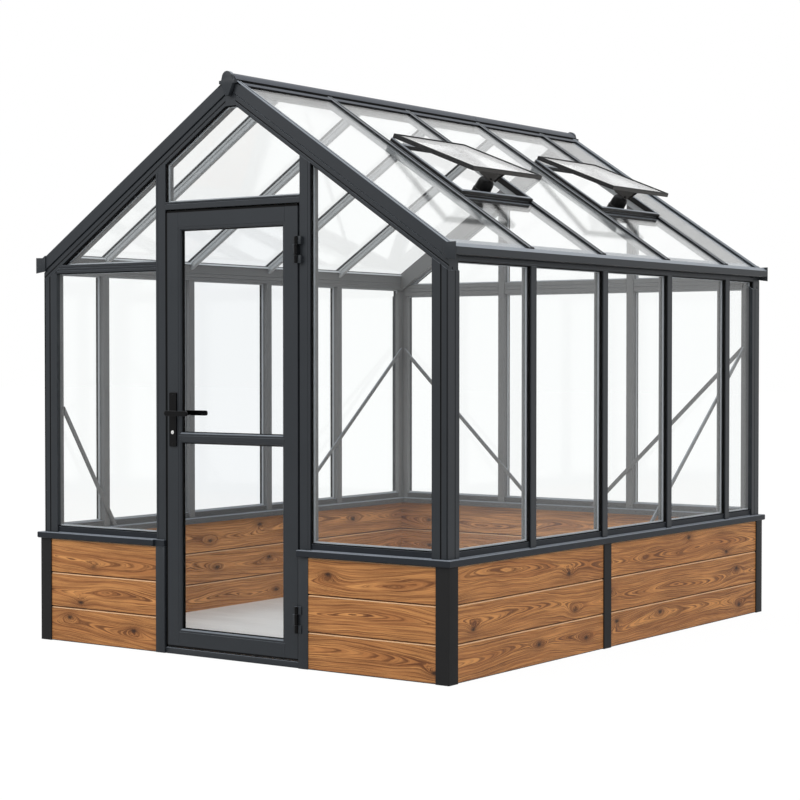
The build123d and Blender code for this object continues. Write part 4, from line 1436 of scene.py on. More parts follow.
@dataclass
class Roof(Assembly):
    """Gable rafters, glazing bars, ridge and gutters."""

    fascia_drop: float = 0.049
    fascia_thickness: float = 0.006
    fascia_gap: float = 0.005
    fascia_rebate: float = 0.008
    rafter_web: float = 0.016
    under_groove: tuple[float, float] = (0.034, 0.040)
    under_groove_depth: float = 0.012
    groove: float = 0.006
    groove_rise: float = 0.014
    strip_lift: float = 0.001
    strip_width: float = 0.036
    strip_height: float = 0.010
    cap_edge: float = 0.003
    cap_bend: float = 0.004
    gable_recess: tuple[float, float] = (0.015, 0.022)
    recess_depth: float = 0.005
    bar_drop: float = 0.042
    bar_web: float = 0.010
    bar_ledge: float = 0.012
    bar_step: float = 0.004
    bar_round: float = 0.008
    insert: float = 0.014
    insert_bed: float = 0.004
    gable_insert: tuple[float, float] = (0.0115, 0.022)
    strip_end: float = 0.012
    end_thickness: float = 0.004
    end_lip: float = 0.0015
    ridge_cap_half: float = 0.065
    crown_half: float = 0.040
    crown_rise: float = 0.023
    crown_step: float = 0.007
    crown_rebate: float = 0.008
    crown_groove: tuple[float, float] = (0.014, 0.009)
    crown_curve: Profile = ((0.66, 0.58), (0.33, 0.90))
    wing_edge: float = 0.010
    wing_corner: float = 0.003
    wing_lift: float = 0.0005
    band_cover: float = 0.0008
    band_bed: float = 0.001
    crown_band: float = 0.010
    wing_band: float = 0.006
    seam: float = 0.002
    gutter_wall: float = 0.003
    gutter_bend: float = 0.004
    gutter_back: float = 0.026
    gutter_lip: float = 0.017
    gutter_lean: float = 0.021
    gutter_fold: float = 0.002

    def __post_init__(self) -> None:
        """Work out the heights of the glazing strips and the ridge capping."""
        house = self.house
        rise = house.glass_thickness / math.cos(house.pitch)
        self.strip_top = house.glass_thickness + self.strip_height
        self.cap_foot = house.roof(0.0, rise)
        self.cap_top = house.roof(0.0, rise + self.crown_rise)
        self.wing = house.roof(self.ridge_cap_half, rise)
        self.crown_foot = house.roof(self.crown_half, rise + self.wing_edge)
        self.rebate_top = house.roof(self.crown_half + self.crown_rebate, rise + self.wing_edge)

    def build(self) -> None:
        """Make all of the roof's metal parts."""
        self.rafters()
        self.bars()
        self.ridge()
        self.gutters()

    def rafter_outline(self) -> Outline:
        """Section of a gable rafter: width inwards from the fascia, depth below the roof plane.

        Returns:
            The outline.
        """
        house, shrink = self.house, math.cos(self.house.pitch)
        fascia, drop = self.fascia_drop * shrink, house.rafter_drop * shrink
        step, rebate = self.fascia_thickness, self.fascia_thickness + self.fascia_rebate
        slot, low = step + self.groove, drop - self.groove_rise
        glass, top, wide = -house.glass_thickness, -self.strip_top, self.strip_width
        (near, far), bed = self.gable_recess, top + self.recess_depth
        (start, end), roof = self.under_groove, drop - self.under_groove_depth
        inner = step + house.corner_post
        return [
            (0.0, fascia), (0.0, top + self.cap_edge), (self.cap_edge, top),
            (near, top), (near, bed), (far, bed), (far, top),
            (wide - self.cap_bend, top), (wide, top + self.cap_bend), (wide, glass),
            (self.rafter_web, glass), (self.rafter_web, 0.0), (inner, 0.0), (inner, drop),
            (end, drop), (end, roof), (start, roof), (start, drop), (step, drop),
            (step, low), (slot, low), (slot, low - self.groove), (step, low - self.groove),
            (step, fascia + self.fascia_gap), (rebate, fascia + self.fascia_gap), (rebate, fascia),
        ]

    def rafters(self) -> None:
        """Make the rafters of both gables and the black strips in their lower grooves."""
        house, outline = self.house, self.rafter_outline()
        place = house.on_slope(-house.fascia_y)
        ends = plumb_x(house.ridge_half), plumb_x(house.frame_x)
        front = Draft().member(outline, place, *ends).doubled(0)
        back = Draft().member(outline, place, *ends).doubled(0).flipped(1)
        for draft, gable in ((front, "front"), (back, "back")):
            draft.make(f"{gable}_gable_rafters", self.finishes.frame, Slot.FRAME, [f"{gable}_rafters"])
        low = house.rafter_drop * math.cos(house.pitch) - self.groove_rise
        step = self.fascia_thickness
        section = oblong(step + self.strip_lift, step + self.groove, low - self.groove, low)
        strips = Draft().member(section, place, *ends).doubled(0).doubled(1)
        strips.make("rafter_strips", self.finishes.rubber, Slot.FITTINGS, bevel=0.0)

    def bar_outline(self) -> Outline:
        """Section of a glazing bar: width across it, depth below the roof plane.

        Returns:
            The outline.
        """
        house, insert, web = self.house, self.insert / 2, self.bar_web / 2
        half, cap, bend = house.bar_width / 2, house.bar_cap / 2, self.bar_round
        glass, top, bed = -house.glass_thickness, -self.strip_top, self.insert_bed - self.strip_top
        side, ledge = half - self.bar_step, self.bar_ledge
        drop = self.bar_drop * math.cos(house.pitch) - bend
        return [
            (-web, 0.0), (-web, glass), (-cap, glass), (-cap, top + self.cap_bend),
            (self.cap_edge - cap, top), (-insert, top), (-insert, bed), (insert, bed), (insert, top),
            (cap - self.cap_edge, top), (cap, top + self.cap_bend), (cap, glass), (web, glass), (web, 0.0),
            (half, 0.0), (half, ledge), (side, ledge), (side, drop),
            *arc((side - bend, drop), bend, 0, 90, 4), *arc((bend - side, drop), bend, 90, 180, 4),
            (-side, ledge), (-half, ledge), (-half, 0.0),
        ]

    def bars(self) -> None:
        """Make the glazing bars of both slopes, their rubber inserts and the black caps at their ends."""
        house, finishes = self.house, self.finishes
        outline = self.bar_outline()
        cap_only = [point for point in outline if point[1] <= 0.0]
        reach, top, bend = house.bar_cap / 2 + self.end_lip, -self.strip_top - self.end_lip, self.recess_depth
        plug = [
            (-reach, self.cap_bend), (-reach, bend + top), (bend - reach, top),
            (reach - bend, top), (reach, bend + top), (reach, self.cap_bend),
        ]
        cord = self.strip_lift - self.strip_top, self.recess_depth - self.strip_top
        ridge, eave = plumb_x(house.ridge_half), plumb_x(house.frame_x - self.strip_end)
        beam_edge = plumb_x(house.frame_x - house.wall_post_depth)
        eave_end = plumb_x(house.frame_x - self.strip_end + self.end_thickness)
        bars, ends, inserts = Draft(), Draft(), Draft()
        for line in house.post_lines:
            place = house.on_slope(line)
            bars.member(outline, place, ridge, beam_edge)
            bars.member(cap_only, place, beam_edge, eave)
            ends.member(plug, place, eave, eave_end)
            inserts.member(oblong(-self.insert / 2, self.insert / 2, *cord), place, ridge, eave)
        bars.doubled(0, 1).make("roof_glazing_bars", finishes.bars, Slot.FRAME, ["roof_bars"])
        ends.doubled(0, 1).make("roof_bar_end_caps", finishes.black, Slot.FITTINGS, bevel=0.0006)
        strip, edge = oblong(*self.gable_insert, *cord), house.on_slope(-house.fascia_y)
        inserts.joined(Draft().member(strip, edge, ridge, eave).doubled(1)).doubled(0, 1)
        inserts.make("bar_cap_inserts", finishes.rubber, Slot.FITTINGS, bevel=0.0)

    def ridge_outline(self) -> Outline:
        """Section of the ridge capping, with its middle at width 0.

        Returns:
            The outline.
        """
        half, crown, corner = self.ridge_cap_half, self.crown_half, self.wing_corner
        rebate, edge = crown + self.crown_rebate, self.wing + self.wing_edge
        outer, inner = (self.crown_foot - drop for drop in self.crown_groove)
        shoulder = self.crown_foot + self.crown_step
        rise = self.cap_top - shoulder
        right = [
            (half, self.wing), (half, edge - corner), (half - corner, edge + self.wing_lift),
            (rebate, self.rebate_top), (rebate, outer), (crown, inner), (crown, shoulder),
            *[(crown * share, shoulder + rise * lift) for share, lift in self.crown_curve],
        ]
        return [*right, (0.0, self.cap_top), *[(-x, z) for x, z in reversed(right)], (0.0, self.cap_foot)]

    def ridge(self) -> None:
        """Make the two lengths of ridge capping, its black bands and the beam, and dress the end caps."""
        house, end = self.house, self.house.fascia_y
        place = lengthwise(0.0, 0.0, X_AXIS, Z_AXIS)
        seam_y, gap = house.post_lines[house.front_bays], self.seam / 2
        outline = self.ridge_outline()
        draft = Draft().member(outline, place, -end, seam_y - gap).member(outline, place, seam_y + gap, end)
        draft.make("ridge_capping", self.finishes.crown, Slot.FRAME, ["ridge_caps"])
        self.ridge_beam()
        # Thin black bands at the crown's foot and along the wings' edges.
        black_bands = Draft()
        for near, low, high in (
            (self.crown_half, self.crown_foot - self.crown_band, self.crown_foot + self.crown_step),
            (self.ridge_cap_half, self.wing + self.wing_lift, self.wing + self.wing_band),
        ):
            black_bands.member(oblong(near - self.band_bed, near + self.band_cover, low, high), place, -end, end)
        black_bands.doubled(0).make("ridge_cap_black_bands", self.finishes.rubber, Slot.FITTINGS, bevel=0.0)
        dress("ridge_end_caps", self.finishes.frame, bevel=0.002)
        dress("eave_end_caps", self.finishes.frame, bevel=0.0012)

    def ridge_beam(self) -> None:
        """Make the ridge beam, with a deep block at each end that closes the gable."""
        house, half = self.house, self.house.ridge_half
        low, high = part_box("ridge_beam")
        brow = house.roof(half)
        draft = Draft()
        for start, end, foot in (
            (low.y, -house.corner_y, low.z), (-house.corner_y, house.corner_y, brow - self.bar_drop),
            (house.corner_y, high.y, low.z),
        ):
            outline = [(-half, foot), (half, foot), (half, brow), (0.0, high.z), (-half, brow)]
            draft.member(outline, lengthwise(0.0, 0.0, X_AXIS, Z_AXIS), start, end)
        draft.make("ridge_bar", self.finishes.frame, Slot.FRAME, ["ridge_beam"])

    def gutters(self) -> None:
        """Make the gutters, with a slanted upper lip that catches the light and closed ends."""
        low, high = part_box("gutters")
        reach, height, wall = high.x - self.house.frame_x, high.z - low.z, self.gutter_wall
        bend, back, lip, lean = self.gutter_bend, self.gutter_back, self.gutter_lip, reach - self.gutter_lean
        outer = [(0.0, 0.0), (reach - bend, 0.0), (reach, bend), (reach, height - lip), (lean, height)]
        trough = [
            (lean - wall, height), (lean - wall, height - bend),
            (reach - wall, height - lip - self.gutter_fold),
            (reach - wall, wall), (wall, wall), (wall, back), (0.0, back),
        ]
        place = lengthwise(self.house.frame_x, low.z, X_AXIS, Z_AXIS)
        draft = Draft().member(outer + trough, place, low.y, high.y)
        for start, end in ((low.y, low.y + wall), (high.y - wall, high.y)):
            draft.member([*outer, (0.0, back)], place, start, end)
        draft.doubled(0).make("lipped_gutters", self.finishes.frame, Slot.FRAME, ["gutters"])


@dataclass
class Vents(Assembly):
    """Roof vents that stand open, with their curbs, sashes and openers."""

    opening: float = math.radians(12.0)
    curb_width: float = 0.020
    curb_height: float = 0.030
    curb_edge: float = 0.003
    curb_groove: float = 0.0025
    groove_height: float = 0.010
    cross_width: float = 0.035
    cross_drop: float = 0.038
    cross_groove: Groove = (0.012, 0.002, 0.003)
    upper_drop: float = 0.012
    upper_curb: float = 0.008
    sash_rim: float = 0.006
    sash_frame: float = 0.020
    sash_thickness: float = 0.022
    sash_edge: float = 0.002
    glass_gap: float = 0.001
    glass_recess: float = 0.0035
    sash_chamfer: float = 0.003
    drip: float = 0.0015
    drip_drop: float = 0.005
    drum: Profile = (
        (-0.045, 0.037), (-0.042, 0.042), (-0.036, 0.045), (0.0, 0.045), (0.003, 0.042), (0.006, 0.042),
        (0.039, 0.040), (0.051, 0.037), (0.058, 0.032), (0.062, 0.023),
    )
    drum_head: float = 0.037
    drum_depth: float = 0.045
    drum_setback: float = 0.077
    foot_half: float = 0.020
    foot_height: float = 0.022
    arm_lift: float = 0.063
    arm_width: float = 0.030
    arm_reach: float = 0.190
    arm_end: float = 0.020
    plate: float = 0.003
    pivot_back: float = 0.012
    pivot_lift: float = 0.010
    pivot_end: float = 0.004
    pivot_radius: float = 0.005
    pivot_sides: int = 16

    def __post_init__(self) -> None:
        """Read the vents' place on the slope from the frame's boxes."""
        low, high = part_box("vent_side_curbs")
        down, off = self.house.down_slope, self.house.off_slope
        self.top = low.x / down.x
        self.bottom = (high.x - self.curb_height * off.x) / down.x
        low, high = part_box("vent_sashes")
        self.sash_width = high.y - low.y - (self.house.vent_lines[-1] - self.house.vent_lines[0])
        self.sash_length = self.bottom - self.top + 2 * self.curb_width
        lean = self.house.pitch - self.opening
        self.sash_run = Vector((math.cos(lean), 0, -math.sin(lean)))
        self.sash_up = Vector((math.sin(lean), 0, math.cos(lean)))
        self.hinge = self.house.slope_point(self.top - self.curb_width, self.curb_height)

    def build(self) -> None:
        """Make the curbs, cross bars, sashes and openers."""
        curbs, bars, sashes, panes, drips, drums, brackets = (Draft() for _ in range(7))
        for line in self.house.vent_lines:
            self.curb(curbs, bars, line)
            self.sash(sashes, panes, drips, line)
            self.opener(drums, brackets, line)
        finishes = self.finishes
        curbs.make("vent_curbs", finishes.curbs, Slot.FRAME, ["vent_side_curbs"], bevel=0.0006)
        bars.make("vent_bars", finishes.curbs, Slot.FRAME, ["vent_cross_bars"])
        sashes.make("mitred_vent_sashes", finishes.vents, Slot.FRAME, ["vent_sashes"], bevel=0.0006)
        panes.make("vent_panes", finishes.glass, Slot.GLASS, ["vent_glass"], bevel=0.0)
        drips.make("vent_drip_rails", finishes.zinc, Slot.FRAME, bevel=0.0)
        drums.make("vent_opener_drums", finishes.black, Slot.FITTINGS, ["vent_openers"], bevel=0.0005)
        brackets.make("vent_opener_brackets", finishes.zinc, Slot.FITTINGS, bevel=0.0005)

    def curb(self, curbs: Draft, bars: Draft, line: float) -> None:
        """Add one vent's upstand and the two bars under its ends.

        Args:
            curbs: Where the upstand is added.
            bars: Where the bars are added.
            line: The vent's middle along the house.
        """
        house, width, height, edge = self.house, self.curb_width, self.curb_height, self.curb_edge
        groove, start = self.curb_groove, self.groove_height
        section = [
            (0.0, 0.0), (0.0, start), (groove, start), (groove, start + groove), (0.0, start + groove),
            (0.0, height - edge), (edge, height), (width - edge, height), (width, height - edge),
            (width, 0.0),
        ]
        half, clear = (house.bay - house.bar_cap) / 2, (house.bay - house.bar_width) / 2
        down, off = house.down_slope, house.off_slope
        head, foot = (house.slope_point(along, 0.0) for along in (self.top - width, self.bottom + width))
        for side in (-1, 1):
            outer = house.slope_point(0.0, 0.0) + Y_AXIS * (line + side * half)
            place = Place(outer, Y_AXIS * -side, off, down)
            curbs.member(section, place, Cut(head, down), Cut(foot, down))
        ends = line - half + width, line + half - width
        curbs.member(section, Place(foot, -down, off, Y_AXIS), *ends)
        curbs.member(oblong(0.0, width, 0.0, self.upper_curb), Place(head, down, off, Y_AXIS), *ends)
        for along, drop in ((self.top - self.cross_width, self.upper_drop), (self.bottom, self.cross_drop)):
            outline = grooved(self.cross_width, drop, low=[self.cross_groove], high=[self.cross_groove])
            place = Place(house.slope_point(along, 0.0), down, -off, Y_AXIS)
            bars.member(outline, place, line - clear, line + clear)

    def sash(self, sashes: Draft, panes: Draft, drips: Draft, line: float) -> None:
        """Add one sash: its mitred frame, the pane that lies on it and the drip rail at its foot.

        Args:
            sashes: Where the frame is added.
            panes: Where the pane is added.
            drips: Where the drip rail is added.
            line: The vent's middle along the house.
        """
        half, length, edge, cut = self.sash_width / 2, self.sash_length, self.sash_edge, self.sash_chamfer
        rim, wide, thick = self.sash_rim, self.sash_frame, self.sash_thickness
        face = thick - self.glass_recess
        ledge = face - self.house.glass_thickness
        section = [
            (0.0, 0.0), (0.0, thick - edge), (edge, thick), (rim, thick), (rim, ledge),
            (wide, ledge), (wide, cut), (wide - cut, 0.0),
        ]
        plane = Place(self.hinge + Y_AXIS * line, self.sash_run, Y_AXIS, self.sash_up)
        outer = oblong(0.0, length, -half, half)
        sashes.framed(outer, section, plane)
        panes.slab(inset(outer, rim + self.glass_gap), plane, ledge, face)
        foot = Place(plane.at(length, 0.0), self.sash_run, self.sash_up, Y_AXIS)
        strip = oblong(0.0, self.drip, edge, thick - self.drip_drop)
        drips.member(strip, foot, line - half + edge, line + half - edge)

    def opener(self, drums: Draft, brackets: Draft, line: float) -> None:
        """Add one opener: its drum on a foot from the lower bar, and the bracket under the sash.

        Args:
            drums: Where the drum and foot are added.
            brackets: Where the bracket is added.
            line: The vent's middle along the house.
        """
        house, low, setback = self.house, -self.drum_depth, self.drum_setback
        down, off = house.down_slope, house.off_slope
        middle = self.bottom - setback
        foot = house.slope_point(middle, 0.0) + Y_AXIS * line
        narrow, head = self.drum_head, self.arm_lift
        drums.lathe(Place(foot, down, Y_AXIS, off), self.drum)
        stand = oblong(0.0, setback, low, low + self.foot_height)
        drums.slab(stand, Place(foot, down, off, Y_AXIS), -self.foot_half, self.foot_half)
        tip = [house.slope_point(middle + side * narrow, head) for side in (-1, 1)]
        under = [
            self.hinge + self.sash_run * (self.sash_length - self.arm_end - back)
            for back in (0.0, self.arm_reach)
        ]
        drop = self.sash_up * -self.plate
        strap = [under[1], under[0], under[0] + drop, under[1] + drop]
        outer, inner = self.arm_width / 2, self.arm_width / 2 - self.plate
        for shape, near, far in (
            ([*tip, *under], -outer, -inner), ([*tip, *under], outer, inner), (strap, -inner, inner),
        ):
            brackets.loft([[point + Y_AXIS * (line + face) for point in shape] for face in (near, far)])
        pivot = house.slope_point(middle + narrow - self.pivot_back, head + self.pivot_lift) + Y_AXIS * line
        reach = Y_AXIS * (outer + self.pivot_end)
        drums.rod(pivot - reach, pivot + reach, self.pivot_radius, self.pivot_sides)


@dataclass
class Glazing(Assembly):
    """Panes of the walls and gables, with the rubber that seals them."""

    seal_width: float = 0.004
    seal_thickness: float = 0.012
    foot_lip: float = 0.0006
    gasket_width: float = 0.007

    def wall_panes(self) -> list[Outline]:
        """List the panes of a side wall.

        Returns:
            Their outlines in Y and Z.
        """
        house, half = self.house, self.house.wall_post_width / 2
        edges = [line + side * half for line in house.post_lines for side in (-1, 1)]
        edges = [-house.corner_y, *edges, house.corner_y]
        low, high = house.sill_top, house.beam_low
        return [oblong(near, far, low, high) for near, far in zip(edges[0::2], edges[1::2])]

    def gable_panes(self, back: bool) -> list[Outline]:
        """List the panes of a gable.

        Args:
            back: Whether it is the gable without the door.

        Returns:
            Their outlines in X and Z.
        """
        house = self.house
        tie_low, tie_high = (box.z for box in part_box("back_ties" if back else "front_tie"))
        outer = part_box("back_posts")[1].x if back else house.door_post_x
        inner = outer - house.wall_post_width if back else house.door_half
        base = tie_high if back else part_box("door_lintel")[1].z
        corner, sill = house.corner_x, house.sill_top

        def under(x: float) -> tuple[float, float]:
            """The point under the rafter at x."""
            return x, house.roof(x, -house.rafter_drop)

        low = oblong(outer, corner, sill, tie_low)
        tie_end = (house.apex - house.rafter_drop - tie_high) / house.slope
        high = [(outer, tie_high), (tie_end, tie_high), under(outer)]
        left = [[(-x, z) for x, z in reversed(pane)] for pane in (low, high)]
        right = [low, high, oblong(-inner, inner, sill, tie_low)]
        if not back:
            right = [[(outer, sill), (corner, sill), under(corner), under(outer)]]
        across = (inner, house.ridge_half, -house.ridge_half, -inner)
        return [*left, *right, [(-inner, base), (inner, base), *[under(x) for x in across]]]

    def rubbers(self, panes: list[Outline], place: Place) -> tuple[Draft, Draft]:
        """Frame panes with rubber.

        Args:
            panes: The panes' visible outlines.
            place: Their wall's outer face, with the run towards the inside.

        Returns:
            The black seals in front of the panes, and the pale gaskets behind them, whose colour paints the
            highlight along the glass's edge.
        """
        glass, wide = self.house.glass_setback, self.seal_width
        behind = glass + self.house.glass_thickness
        seals, gaskets = Draft(), Draft()
        for pane in panes:
            sill = min(b for _, b in pane)
            lowered = [(a, b if b > sill else sill - wide + self.foot_lip) for a, b in pane]
            seals.framed(lowered, oblong(0.0, wide, glass - self.seal_thickness, glass), place)
            gaskets.framed(pane, oblong(0.0, self.gasket_width, behind, behind + self.gasket_width), place)
        return seals, gaskets

    def build(self) -> None:
        """Make the seals and gaskets of the walls and gables and dress the glass."""
        house, finishes = self.house, self.finishes
        walls = Place(Vector((house.frame_x, 0, 0)), Y_AXIS, Z_AXIS, -X_AXIS)
        front = Place(Vector((0, -house.frame_y, 0)), X_AXIS, Z_AXIS, Y_AXIS)
        back = Place(Vector((0, house.frame_y, 0)), X_AXIS, Z_AXIS, -Y_AXIS)
        wall_rubbers = [draft.doubled(0, 1) for draft in self.rubbers(self.wall_panes(), walls)]
        for wall, (seals, gaskets) in (
            ("wall", wall_rubbers),
            ("front", self.rubbers(self.gable_panes(back=False), front)),
            ("back", self.rubbers(self.gable_panes(back=True), back)),
        ):
            seals.make(f"{wall}_glazing_seals", finishes.rubber, Slot.FITTINGS, bevel=0.0)
            # Painted highlight: the gaskets' pale colour stands in for the light along the panes' edges.
            gaskets.make(f"{wall}_gaskets", finishes.painted_highlight_rubber, Slot.FITTINGS, bevel=0.0)
        for node in (
            "wall_glass", "gable_glass_front", "gable_glass_back", "roof_glass_left", "roof_glass_right",
        ):
            dress(node, finishes.glass)
        dress("door_glass", finishes.door_glass)


@dataclass
class Door(Assembly):
    """The door leaf with its beads, seals, hinges and handle."""

    bead: float = 0.015
    bead_slant: float = 0.006
    bead_edge: float = 0.0015
    bead_gap: float = 0.002
    rubber: float = 0.004
    stile: float = 0.090
    bottom_rail: float = 0.087
    top_rail: float = 0.091
    mid_rail: float = 0.048
    mid_rail_middle: float = 1.018
    plate_round: float = 0.005
    screw_inset: float = 0.014
    screw: Profile = ((-0.001, 0.0045), (0.0006, 0.0045), (0.0014, 0.003))
    screw_sides: int = 20
    bore: float = 0.007
    bore_arc: float = 84.0
    lock_drop: float = 0.090
    lock: Profile = ((-0.002, 0.0085), (0.0015, 0.0085), (0.002, 0.0079))
    key_slot: tuple[float, float, float, float] = (-0.0007, 0.0007, -0.005, 0.003)
    key_ends: tuple[float, float] = (0.0015, 0.0023)
    neck: Profile = ((0.0004, 0.011), (0.006, 0.0105), (0.010, 0.008))
    neck_end: Profile = ((0.006, 0.008), (0.0, 0.009))
    neck_sides: int = 24
    lever_thickness: float = 0.012
    lever_round: float = 0.8
    spindle: float = 0.006
    edge_lip: float = 0.0075
    lip_proud: float = 0.0006
    lip_depth: float = 0.010
    knuckle: float = 0.008
    sleeve: float = 0.0003
    knuckle_gap: float = 0.001
    knuckle_length: float = 0.048
    hinge_half: float = 0.060
    stop_gap: float = 0.0055
    stop_reach: float = 0.013
    stop_lip: tuple[float, float] = (0.002, 0.006)
    stop_wedge: float = 0.004

    def __post_init__(self) -> None:
        """Read the leaf's box and work out its panes."""
        self.low, self.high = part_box("door_stiles")
        self.inner = self.high.x - self.stile
        self.depth = self.high.y - self.low.y
        self.glass_at = (self.depth - self.house.glass_thickness) / 2
        self.plane = Place(Vector((0, self.low.y, 0)), X_AXIS, Z_AXIS, Y_AXIS)
        self.panes = [
            (self.low.z + self.bottom_rail, self.mid_rail_middle - self.mid_rail / 2),
            (self.mid_rail_middle + self.mid_rail / 2, self.high.z - self.top_rail),
        ]
        self.faces = ((self.low.y, -Y_AXIS), (self.high.y, Y_AXIS))
        lever_low, lever_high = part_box("door_lever")
        self.turn = (lever_low.z + lever_high.z) / 2

    def build(self) -> None:
        """Make the leaf, its seals and its fittings."""
        self.leaf()
        self.leaf_seals()
        self.stop_seals()
        self.handle_plates()
        self.lever()
        self.knuckles()

    def leaf(self) -> None:
        """Make the stiles, the rails between them and the glazing beads."""
        low, high, bead, depth = self.low, self.high, self.bead, self.depth
        paint, reach = self.finishes.leaf, self.inner + self.bead
        stile = oblong(0.0, self.stile - bead, 0.0, depth)
        stiles = Draft().member(stile, upright(high.x, low.y, -X_AXIS, Y_AXIS), low.z, high.z).doubled(0)
        stiles.make("door_stile_bars", paint, Slot.FRAME, ["door_stiles"], Body.DOOR, bevel=0.0015)
        rails, beads = Draft(), Draft()
        edges = [low.z, *[edge for start, end in self.panes for edge in (start - bead, end + bead)], high.z]
        for start, end in zip(edges[0::2], edges[1::2]):
            place = crosswise(low.y, start, Z_AXIS, Y_AXIS)
            rails.member(oblong(0.0, end - start, 0.0, depth), place, -reach, reach)
        rails.make("door_rail_bars", paint, Slot.FRAME, ["door_rails"], Body.DOOR, bevel=0.001)
        slant, edge = self.bead_slant, self.bead_edge
        flat = bead - slant
        section = [
            (0.0, edge), (flat, edge), (bead, edge + slant), (bead, self.glass_at - self.bead_gap),
            (bead, depth - slant - edge), (flat, depth - edge), (0.0, depth - edge),
        ]
        for start, end in self.panes:
            beads.framed(oblong(-reach, reach, start - bead, end + bead), section, self.plane)
        beads.make("door_glazing_beads", paint, Slot.FRAME, (), Body.DOOR, bevel=0.0004)

    def leaf_seals(self) -> None:
        """Make the rubber round the door's glass and along the leaf's free edges."""
        low, high, wide = self.low, self.high, self.rubber
        rubber, lips = Draft(), Draft()
        for start, end in self.panes:
            pane = oblong(-self.inner, self.inner, start, end)
            for near in (self.glass_at - wide, self.glass_at + self.house.glass_thickness):
                rubber.framed(pane, oblong(0.0, wide, near, near + wide), self.plane)
        rubber.make("door_glazing_seals", self.finishes.rubber, Slot.FITTINGS, (), Body.DOOR, bevel=0.0)
        lip = oblong(0.0, self.edge_lip, -self.lip_proud, self.lip_depth)
        lips.member(lip, upright(low.x, low.y, X_AXIS, Y_AXIS), low.z, high.z)
        for place in (crosswise(low.y, high.z, -Z_AXIS, Y_AXIS), crosswise(low.y, low.z, Z_AXIS, Y_AXIS)):
            lips.member(lip, place, low.x, high.x)
        lips.make("door_edge_seals", self.finishes.rubber, Slot.FITTINGS, (), Body.DOOR, bevel=0.0)

    def stop_seals(self) -> None:
        """Make the rubber stops in the door frame behind the leaf."""
        half, reach, near = self.house.door_half, self.stop_reach, self.high.y + self.stop_gap
        sill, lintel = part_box("door_sill")[1].z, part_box("door_lintel")[0].z
        back = self.house.gable_post_depth - self.house.frame_y - near
        lips = [(reach, depth) for depth in self.stop_lip]
        outline = [(0.0, 0.0), *lips, (self.stop_wedge, back), (0.0, back)]
        strips = Draft().member(outline, upright(half, near, -X_AXIS, Y_AXIS), sill, lintel).doubled(0)
        strips.member(outline, crosswise(near, lintel, -Z_AXIS, Y_AXIS), reach - half, half - reach)
        strips.make("door_stop_seals", self.finishes.rubber, Slot.FITTINGS, bevel=0.0)

    def knuckles(self) -> None:
        """Paint the hinge plates like the leaf and put black sleeves on the knuckles."""
        for node in ("hinge_frames", "hinge_leaves"):
            dress(node, self.finishes.leaf, bevel=0.001)
        low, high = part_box("hinge_frames")
        axis = Vector((low.x + self.knuckle, low.y + self.knuckle, 0))
        radius, half, inner = self.knuckle + self.sleeve, self.hinge_half, self.knuckle_length / 2
        outer = inner + self.knuckle_gap
        fixed, moving = Draft(), Draft()
        for middle in (low.z + half, high.z - half):
            for draft, start, end in ((moving, -inner, inner), (fixed, -half, -outer), (fixed, outer, half)):
                draft.rod(axis + Z_AXIS * (middle + start), axis + Z_AXIS * (middle + end), radius)
        fixed.make("fixed_knuckles", self.finishes.black, Slot.FITTINGS)
        moving.make("moving_knuckles", self.finishes.black, Slot.FITTINGS, (), Body.DOOR)

    def handle_plates(self) -> None:
        """Make the backplates with their screws, lock cylinders and keyholes."""
        low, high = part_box("handle_plates")
        middle, size = (low.x + high.x) / 2, self.plate_round
        left, right, foot, head = low.x + size, high.x - size, low.z + size, high.z - size
        corners = ((right, head), (left, head), (left, foot), (right, foot))
        outer = [
            point for quarter, corner in enumerate(corners)
            for point in arc(corner, size, 90 * quarter, 90 * quarter + 90)
        ]
        hole = [
            point for quarter in range(4)
            for point in arc((middle, self.turn), self.bore, 90 * quarter, 90 * quarter + self.bore_arc)
        ]
        thick = self.low.y - low.y
        screws = low.z + self.screw_inset, high.z - self.screw_inset
        plates, locks, slots = Draft(), Draft(), Draft()
        for face, outward in self.faces:
            plane = Place(Vector((0, face, 0)), X_AXIS, Z_AXIS, outward)
            loops = [(outer, 0.0), (hole, 0.0), (hole, thick), (outer, thick)]
            plates.loft([[plane.at(a, b, t) for a, b in ring] for ring, t in loops], closed=True)
            lock = replace(plane, origin=plane.at(middle, self.turn - self.lock_drop, thick))
            locks.lathe(lock, self.lock)
            # Painted shade: each keyhole is a thin black slab on the lock's face, not a hole.
            slots.slab(oblong(*self.key_slot), lock, *self.key_ends)
            for height in screws:
                head = replace(plane, origin=plane.at(middle, height, thick))
                plates.lathe(head, self.screw, self.screw_sides)
        black, steel, rubber = self.finishes.black, self.finishes.steel, self.finishes.rubber
        plates.make("handle_backplates", black, Slot.FITTINGS, ["handle_plates"], Body.DOOR, bevel=0.0012)
        locks.make("lock_cylinders", steel, Slot.FITTINGS, (), Body.DOOR, bevel=0.0003)
        slots.make("key_slots", rubber, Slot.FITTINGS, (), Body.DOOR, bevel=0.0)

